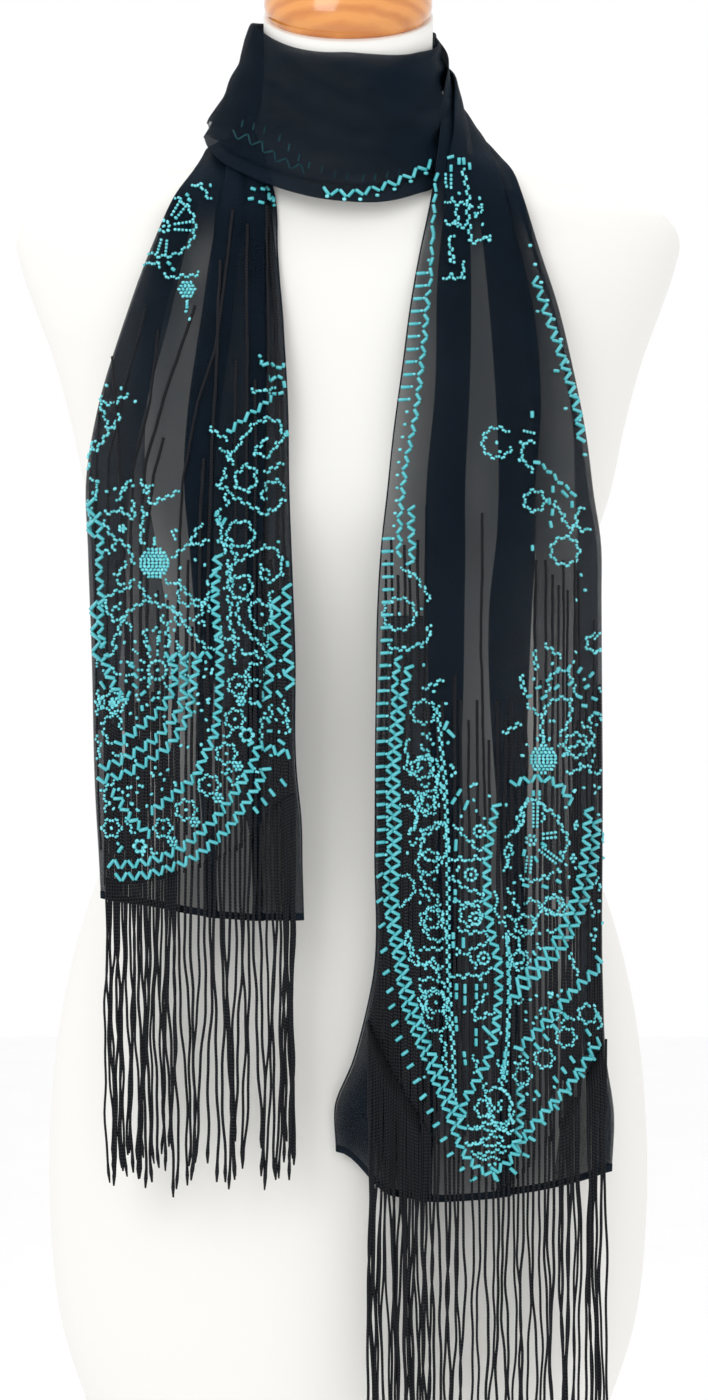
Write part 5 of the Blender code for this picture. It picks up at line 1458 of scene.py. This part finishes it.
def bead_mesh(name, grid, made, seed, layer=0, folds=True):
    """One mesh of six-sided beads. Both ends of each bead are dropped onto the cloth; on folded cloth,
    one whose ends fall on different folds lies level with the nearer end, and one that misses the cloth
    is left out. Beads of the layer behind are slimmer, to lie between the two."""
    look = bpy.context.scene.stole_beads
    half = bpy.context.scene.stole_cloth.thickness / 2
    chance = np.random.default_rng(seed)
    tree = cloth_tree(grid)
    first, normal_a = dropped(tree, [m[0] for m in made], layer)
    last, normal_b = dropped(tree, [m[1] for m in made], layer)
    turn = 2 * np.pi * np.arange(BEAD_SIDES) / BEAD_SIDES
    points, faces, tones_and_glints, base = [], [], [], 0
    for a, b, na, nb, (_, _, kind) in zip(first, last, normal_a, normal_b, made):
        if np.isnan(a).any() or np.isnan(b).any():
            continue
        if folds and abs(a[1] - b[1]) > FOLD_STEP:
            a[1] = b[1] = min(a[1], b[1])
            na = nb = np.array((0.0, -1.0, 0.0))
        length = np.linalg.norm(b - a)
        if length < SHORTEST:
            continue
        normal, way = unit(na + nb), (b - a) / length
        side = unit(np.cross(way, normal))
        up = np.cross(side, way)
        radius = getattr(look, BEAD_KINDS[kind][1]) / (4 if layer else 2) * chance.uniform(0.94, 1.06)
        middle = (a + b) / 2 + normal * (half + radius * RAISED)
        ring = np.cos(turn)[:, None] * side + np.sin(turn)[:, None] * up
        rings = LONG_RINGS if kind == "bugle" else SHORT_RINGS
        for along, share in rings:
            points.append(middle + way * along * length + radius * share * ring)
        count = len(rings)
        walls = quads_of(count, BEAD_SIDES, closed=True)[:, [0, 3, 2, 1]]
        faces.append(np.concatenate([walls, FIRST_END, LAST_END + (count - 1) * BEAD_SIDES]) + base)
        # bugles stay near the glass colour; seeds lean to the pale end, a painted highlight, with a random
        # tone
        tone_and_glint = chance.uniform(0, 0.25) if kind == "bugle" else chance.uniform(0.3, 1)
        tones_and_glints.append(np.full(count * BEAD_SIDES, tone_and_glint))
        base += count * BEAD_SIDES
    obj = mesh_object(name, np.concatenate(points), np.concatenate(faces), bead_finish())
    values = obj.data.attributes.new("tone_and_glint", "FLOAT", "POINT")
    values.data.foreach_set("value", np.concatenate(tones_and_glints).astype(np.float32))
    return placed(obj, "bead")


def couching_mesh(name, grid, runs, border, groups, rise, seed):
    """Cords sewn flat onto the cloth: the runs listed, and above each hanging strand a stretch
    that climbs the cloth to a height of its own. All are kept inside the cloth's two edges."""
    look = bpy.context.scene.stole_cords
    chance = np.random.default_rng(seed)
    half = bpy.context.scene.stole_cloth.thickness / 2
    tree = cloth_tree(grid)
    hang = grid[grid[..., 2].mean(1) < 1.30]
    row = np.arange(len(hang))
    low_edge, high_edge = hang[row, hang[..., 0].argmin(1)], hang[row, hang[..., 0].argmax(1)]
    paths = [steps_along(seen(run), COUCHED_STEP)[0] for run in runs]
    for first, last, count, _ in groups:
        for root in np.linspace(first, last, count):
            low = float(border_height(border, root))
            high = low + rise * chance.uniform(0.45, 1.0)
            paths.append(np.stack([np.full(30, root), np.linspace(high, low - 0.002, 30)], -1))
    grids, uvs = [], []
    for path in paths:
        least = np.interp(path[:, 1], low_edge[:, 2], low_edge[:, 0] + COUCHED_INSET)
        most = np.interp(path[:, 1], high_edge[:, 2], high_edge[:, 0] - COUCHED_INSET)
        path[:, 0] = np.clip(path[:, 0], least, most)
        points, normals = dropped(tree, path)
        good = ~np.isnan(points[:, 0])
        for part in np.split(np.arange(len(path)), np.flatnonzero(np.diff(good.astype(int))) + 1):
            if not good[part[0]] or len(part) < 5:
                continue
            line = points[part]
            wander = np.cumsum(chance.normal(0, COUCHED_WANDER, len(part)))
            line[:, 0] += wander - wander.mean()
            line[:, 1] = np.minimum(line[:, 1], averaged(line[:, 1], 3))
            up = unit(np.stack([averaged(normals[part, k], 5) for k in range(3)], -1))
            size = look.couched_width * chance.uniform(0.88, 1.1)
            line += up * (half + size * COUCHED_RAISED)
            ring, uv = tube(line, up, size, size * COUCHED_FLATNESS)
            grids.append(ring)
            uvs.append(uv)
    return placed(joined_grids(name, grids, cord_finish(), uvs), "fringe_cord")


def border_height(border, x):
    return smooth(x, [p[0] for p in border], [p[1] for p in border])


def front_line(grid, border):
    """A smooth line across in front of all the cloth that hangs below the border, as (x, y)."""
    xs = np.linspace(border[0][0], border[-1][0], SAMPLES)
    points = grid.reshape(-1, 3)
    top = border_height(border, xs)
    near = (np.abs(points[:, 0] - xs[:, None]) < 0.010) & (points[:, 2] < top[:, None] + 0.025)
    front = np.where(near, points[:, 1], 9).min(axis=1)
    return xs, np.minimum(front, averaged(front, 7))


def fringe_piece(name, node, grid, border, groups, end_z, seed):
    """Cords that leave the cloth at the border and hang in bunches: each path starts on the cloth,
    comes forward of the hem, and drifts towards the middle of its bunch with a slow sway. A knot widens
    it near its end."""
    look = bpy.context.scene.stole_cords
    chance = np.random.default_rng(seed)
    tree = cloth_tree(grid)
    xs, ys = front_line(grid, border)
    strands = [
        (root, (first + last) / 2, draw)
        for first, last, count, draw in groups for root in np.linspace(first, last, count)
    ]
    grids, uvs = [], []
    for number, (root, middle, draw) in enumerate(strands):
        top = float(border_height(border, root)) + 0.001
        low = end_z + 0.006 * math.sin(2.4 * number) + 0.004 * math.sin(0.7 * number)
        low += chance.uniform(0, END_VARIES)
        z = np.linspace(top, low, max(12, round((top - low) / CORD_STEP)))
        down = (top - z) / (top - low)
        hit = tree.ray_cast(Vector((root, -0.4, top)), Vector((0, 1, 0)))[0]
        front = float(np.interp(root, xs, ys))
        start, hang = (hit.y if hit is not None else front) - ROOT_CLEAR, front - HANG_CLEAR
        phase = chance.uniform(0, 2 * np.pi, 3)
        waves = (
            0.6 * np.sin(5.2 * down + phase[0]) + 0.26 * np.sin(15 * down + phase[1])
            + 0.12 * np.sin(34 * down + phase[2])
        )
        x = root + (middle - root) * (1 - draw) * down**1.5 + look.sway * ease(down, 0, 0.4) * waves
        y = start + (hang - start) * ease(top - z, 0, 0.014)
        y = y - 0.0006 * ease(down, 0, 0.3) * (1 + np.sin(6 * down + phase[2]))
        size = look.strand_width * (1 + 0.12 * chance.uniform(-1, 1))
        knot = KNOT_SWELL * np.exp(-(((z - low - KNOT_HEIGHT) / KNOT_REACH) ** 2))
        size = size * (1 + knot - 0.35 * (z < low + 0.003))
        facing = np.tile((0.0, -1.0, 0.0), (len(z), 1))
        ring, uv = tube(np.stack([x, y, z], -1), facing, size, size * 0.9, 5)
        grids.append(ring)
        uvs.append(uv)
    return placed(joined_grids(name, grids, cord_finish(), uvs), "fringe_cord", node)


def hem_piece(name, grid):
    """The rolled hem: a doubled strip along the end of the cloth and a fine roll up its free edge."""
    look = bpy.context.scene.stole_cloth
    normal = normals_of(grid)
    down = grid[1] - grid[0]
    lower = grid[0] - down * 0.05
    upper = lower + unit(down) * look.hem_band
    out = normal[0] * look.thickness * 0.9
    loop = np.stack([lower + out, upper + out, upper - out, lower - out], 1)
    ends = [np.repeat(end.mean(1)[:, None], 4, 1) for end in (loop[:1], loop[-1:])]
    roll = tube(grid[:, 0], normal[:, 0], look.roll_width, look.roll_width * 0.9)[0]
    strip = np.concatenate([ends[0], loop, ends[1]])
    return placed(joined_grids(name, [strip, roll], hem_finish()), "chiffon")


def hem_finish():
    """The same chiffon rolled upon itself, so that no light comes through."""
    look = bpy.context.scene.stole_cloth
    material, made = found("rolled_hem")
    if made:
        return material
    tree, shader = nodes_of(material)
    shader.inputs["Roughness"].default_value = 0.7
    shader.inputs["Specular IOR Level"].default_value = 0.12
    shader.inputs["Alpha"].default_value = 0.85
    coloured(tree, shader, object_noise(tree, 600), 0.3, 0.7, scaled(look.colour, 0.7), look.colour)
    bump(tree, shader, object_noise(tree, 1100, 2), 0.5, 0.0003)
    return material


def placed(obj, slot, *nodes):
    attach(obj, "root")
    if nodes:
        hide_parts(*nodes)
    return obj


def moved(grid, matrix):
    matrix = np.array(matrix)
    return grid @ matrix[:3, :3].T + matrix[:3, 3]


def length_property(name, description, default):
    return bpy.props.FloatProperty(name=name, description=description, default=default, unit="LENGTH")


def colour_property(name, description, default):
    return bpy.props.FloatVectorProperty(
        name=name, description=description, default=default, subtype="COLOR", size=3)


class StoleCloth(bpy.types.PropertyGroup):
    thickness: length_property("Thickness", "Thickness of the chiffon", 0.00035)
    opacity: bpy.props.FloatProperty(
        name="Opacity", description="How much light one face of the chiffon stops", default=0.46, min=0,
        max=1)
    thread_pitch: length_property("Thread pitch", "Distance between threads of the weave", 0.0005)
    hem_band: length_property("Hem", "Height of the doubled hem at each end", 0.0045)
    roll_width: length_property("Rolled edge", "Thickness of the rolled hem on the long edges", 0.0010)
    colour: colour_property("Colour", "Colour of the chiffon", (0.0050, 0.0115, 0.0210))


class StoleCords(bpy.types.PropertyGroup):
    couched_width: length_property("Couched width", "Width of a cord sewn onto the cloth", 0.0019)
    strand_width: length_property("Strand width", "Thickness of a hanging cord", 0.0018)
    link_length: length_property("Link", "Length of one chain stitch", 0.0021)
    sway: length_property("Sway", "How far a hanging cord strays to the side", 0.0024)
    colour: colour_property("Colour", "Colour of the cords", (0.0065, 0.0070, 0.0090))


class StoleBeads(bpy.types.PropertyGroup):
    bugle_width: length_property("Bugle width", "Thickness of a long bead", 0.0024)
    seed_width: length_property("Seed width", "Thickness of a short bead", 0.0022)
    round_width: length_property("Round width", "Thickness of a round bead", 0.0025)
    roughness: bpy.props.FloatProperty(
        name="Roughness", description="Roughness of the glass", default=0.16, min=0, max=1)
    colour: colour_property("Colour", "Colour of the glass", (0.040, 0.50, 0.56))


class StoleForm(bpy.types.PropertyGroup):
    base_radius: length_property("Base radius", "Radius of the round base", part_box("stand_base")[1][0])
    pole_radius: length_property("Pole radius", "Radius of the pole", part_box("stand_pole")[1][0])
    cover_colour: colour_property("Cover", "Colour of the form's cover", (0.76, 0.75, 0.72))
    wood_colour: colour_property("Wood", "Colour of the varnished wood", (0.76, 0.30, 0.062))


class StoleStage(bpy.types.PropertyGroup):
    floor_colour: colour_property("Floor", "Colour of the floor", (0.97, 0.97, 0.97))
    sky: bpy.props.FloatProperty(
        name="Surround", description="Brightness of the white surround", default=1.0, min=0)
    key: bpy.props.FloatProperty(
        name="Key light", description="Power of the main light", default=20.0, unit="POWER")


class STOLE_OT_form(bpy.types.Operator):
    """Build the dress form, its neck cap and its stand"""
    bl_idname = "stole.form"
    bl_label = "Dress form"

    def execute(self, context):
        look = context.scene.stole_form
        z = subdivided(column(TORSO, TORSO_COLUMNS, "z"), 5)
        turn = -2 * np.pi * np.arange(BODY_STEPS) / BODY_STEPS
        body = torso_points(turn[None], z[:, None])
        ends = []
        for ring in (body[0], body[-1]):
            middle = np.array([0, 0, ring[:, 2].mean()])
            ends.append([middle + (ring - middle) * k for k in (0.0, 0.35, 0.7, 0.97)])
        body = np.concatenate([np.array(ends[0]), body, np.array(ends[1][::-1])])
        placed(joined_grids("form_body", [body], form_finish()), "form_cover", "form_torso")

        tilt = Matrix.Translation((0, 0, NECK_TOP_Z)) @ Matrix.Rotation(NECK_TILT, 4, "X") @ (
            Matrix.Translation((0, 0, CAP_RAISED))
        )
        dome = ((0, 0.041), (0.018, 0.0395), (0.034, 0.0345), (0.0455, 0.0265), (0.0520, 0.0170),
                (0.0541, 0.0090), (0.0532, 0.0030), (0.0515, 0.0), (0.0, 0.0))
        wood = wood_finish("turned_wood_cap", (0.012, 0.0, NECK_TOP_Z), -NECK_TILT + math.pi / 2)
        cap = joined_grids("neck_cap", [moved(turned_grid(dome, CAP_STEPS), tilt)], wood)
        placed(cap, "turned_wood", "form_neck_cap")

        r, thick = look.base_radius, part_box("stand_base")[1][2]
        rim = ((0, thick), (r - 0.06, thick), (r - 0.030, thick), (r - 0.010, thick - 0.003),
               (r - 0.003, thick - 0.006), (r, thick - 0.010), (r, 0.003), (r - 0.003, 0.0), (0.0, 0.0))
        wood = wood_finish("turned_wood_base", (0.03, 0.02, 0.0), math.pi / 2, 0.5)
        base = joined_grids("round_base", [turned_grid(rim, BASE_STEPS, 3, np.interp)], wood)
        placed(base, "turned_wood", "stand_base")

        low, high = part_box("stand_pole")[0][2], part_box("stand_pole")[1][2]
        r = look.pole_radius
        rod = ((0, high), (r - 0.001, high), (r, high - 0.001), (r, low + 0.050), (r + 0.0002, low + 0.049),
               (r + 0.0002, low + 0.001), (r - 0.001, low), (0, low))
        pole = joined_grids("pole", [turned_grid(rod, POLE_STEPS, 3, np.interp)], steel_finish())
        placed(pole, "stand_steel", "stand_pole")
        return {"FINISHED"}


class STOLE_OT_tails(bpy.types.Operator):
    """Build the two hanging tails of chiffon, their hems and the plies behind their pleats"""
    bl_idname = "stole.tails"
    bl_label = "Tails"

    def execute(self, context):
        for side in TAILS:
            grid, uv = tail_grid(side)
            cloth_piece(side + "_chiffon", grid, uv, side + "_tail")
            hem_piece(side + "_hem", grid)
        for side, tail in TAILS.items():
            for ply in tail["plies"]:
                cloth_piece(side + "_" + ply, *tail_grid(side, ply))
        return {"FINISHED"}


class STOLE_OT_winding(bpy.types.Operator):
    """Build the band across the throat and the turns behind the neck"""
    bl_idname = "stole.winding"
    bl_label = "Winding"

    def execute(self, context):
        grid, uv = wrap_grid(BAND, doubled_section())
        # the band's opacity holds painted shade in its hollow and under its rolls
        cloth_piece("throat_band", grid, uv, "neck_band", gathered_and_shade=band_opacity_and_painted_shade(grid))
        cloth_piece("nape_turn", *wrap_grid(NAPE, doubled_section()), "nape_wrap", gathered_and_shade=0.75)
        cloth_piece("covered_turn", *wrap_grid(INNER_TURN, single_section()), "inner_turn", gathered_and_shade=0.9)
        return {"FINISHED"}


class STOLE_OT_fringe(bpy.types.Operator):
    """Build the cords that hang from the beaded borders"""
    bl_idname = "stole.fringe"
    bl_label = "Fringe"

    def execute(self, context):
        for side, border, groups, end_z, seed in (
            ("right_side", RIGHT_SIDE_BORDER, RIGHT_SIDE_GROUPS, RIGHT_SIDE_END_Z, 3),
            ("left_side", LEFT_SIDE_BORDER, LEFT_SIDE_GROUPS, LEFT_SIDE_END_Z, 8),
        ):
            fringe_piece(side + "_cords", side + "_fringe", tail_grid(side)[0], border, groups, end_z, seed)
        return {"FINISHED"}


class STOLE_OT_couching(bpy.types.Operator):
    """Lay the chain-stitched cords on the tails"""
    bl_idname = "stole.couching"
    bl_label = "Couched cords"

    def execute(self, context):
        for side, runs, border, groups, rise, seed in (
            ("right_side", RIGHT_SIDE_COUCHING, RIGHT_SIDE_BORDER, RIGHT_SIDE_GROUPS, 0.16, 5),
            ("left_side", LEFT_SIDE_COUCHING, LEFT_SIDE_BORDER, LEFT_SIDE_GROUPS, 0.24, 6),
        ):
            couching_mesh(side + "_couching", tail_grid(side)[0], runs, border, groups, rise, seed)
        return {"FINISHED"}


class STOLE_OT_beads(bpy.types.Operator):
    """Sew the beads onto the tails and the band"""
    bl_idname = "stole.beads"
    bl_label = "Beads"

    def execute(self, context):
        bead_mesh("right_side_beads", tail_grid("right_side")[0], worked(RIGHT_SIDE_BEADS, 11), 21)
        bead_mesh("left_side_beads", tail_grid("left_side")[0], worked(LEFT_SIDE_BEADS, 12), 22)
        band = wrap_grid(BAND, doubled_section())[0]
        bead_mesh("throat_beads", band, worked(BAND_BEADS, 13), 23, folds=False)
        bead_mesh("throat_under_beads", band, worked(BAND_UNDER_BEADS, 14), 24, layer=1, folds=False)
        return {"FINISHED"}


class STOLE_OT_declare(bpy.types.Operator):
    """Does nothing: no sheet of cloth is stated here"""
    bl_idname = "stole.declare"
    bl_label = "Sheets"

    def execute(self, context):
        return {"FINISHED"}


class STOLE_OT_stage(bpy.types.Operator):
    """Build the floor, the lights and the camera"""
    bl_idname = "stole.stage"
    bl_label = "Stage"

    def execute(self, context):
        scene, look = context.scene, context.scene.stole_stage
        material = bpy.data.materials.new("pale_floor")
        tree, shader = nodes_of(material)
        shader.inputs["Roughness"].default_value = 0.8
        tone = scaled(look.floor_colour, 0.985)
        coloured(tree, shader, object_noise(tree, 6), 0.3, 0.7, tone, look.floor_colour)
        u, v = np.meshgrid(np.linspace(-FLOOR_HALF, FLOOR_HALF, 9), np.linspace(FLOOR_HALF, -FLOOR_HALF, 9))
        floor = grid_mesh("floor", np.stack([u, v, 0 * u + FLOOR_Z], -1), material)
        floor.data.flip_normals()

        world = bpy.data.worlds.new("surround")
        world.use_nodes = True
        background = world.node_tree.nodes["Background"]
        background.inputs["Color"].default_value = (1.0, 1.0, 1.0, 1)
        background.inputs["Strength"].default_value = look.sky
        scene.world = world
        for name, place, power, size in (
            ("key", (-1.3, -2.2, 2.7), look.key, 1.4),
            ("fill", (1.9, -2.0, 1.5), look.key * 0.06, 1.8),
            ("top", (0.2, 0.6, 3.2), look.key * 0.4, 1.6),
        ):
            lamp = bpy.data.lights.new(name, "AREA")
            lamp.energy, lamp.size = power, size
            obj = bpy.data.objects.new(name, lamp)
            obj.location = place
            obj.rotation_euler = (Vector(AIM) - Vector(place)).to_track_quat("-Z", "Y").to_euler()
            scene.collection.objects.link(obj)

        lens = bpy.data.cameras.new("camera")
        lens.sensor_fit, lens.sensor_width, lens.lens = "AUTO", SENSOR * 1000, LENS
        camera = bpy.data.objects.new("camera", lens)
        camera.location = EYE
        camera.rotation_euler = (math.pi / 2 - ELEVATION, 0, 0)
        scene.collection.objects.link(camera)
        scene.camera = camera
        scene.view_settings.view_transform = "Standard"
        return {"FINISHED"}


class STOLE_PT_panel(bpy.types.Panel):
    bl_idname = "STOLE_PT_panel"
    bl_label = "Evening stole"
    bl_space_type = "VIEW_3D"
    bl_region_type = "UI"
    bl_category = "Stole"

    def draw(self, context):
        for group in GROUPS:
            box = self.layout.box()
            settings = getattr(context.scene, group)
            for name in settings.__annotations__:
                box.prop(settings, name)
        for name in ORDER:
            self.layout.operator("stole." + name)


GROUPS = {
    "stole_cloth": StoleCloth, "stole_cords": StoleCords, "stole_beads": StoleBeads, "stole_form": StoleForm,
    "stole_stage": StoleStage,
}
ORDER = ("stage", "form", "tails", "winding", "couching", "fringe", "beads", "declare")
CLASSES = (
    *GROUPS.values(), STOLE_OT_stage, STOLE_OT_form, STOLE_OT_tails, STOLE_OT_winding, STOLE_OT_couching,
    STOLE_OT_fringe, STOLE_OT_beads, STOLE_OT_declare, STOLE_PT_panel,
)


def register():
    for cls in CLASSES:
        bpy.utils.register_class(cls)
    for name, group in GROUPS.items():
        setattr(bpy.types.Scene, name, bpy.props.PointerProperty(type=group))


def unregister():
    for name in GROUPS:
        delattr(bpy.types.Scene, name)
    for cls in reversed(CLASSES):
        bpy.utils.unregister_class(cls)


def main():
    """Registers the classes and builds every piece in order."""
    register()
    for name in ORDER:
        getattr(bpy.ops.stole, name)()


if __name__ == "__main__":
    main()
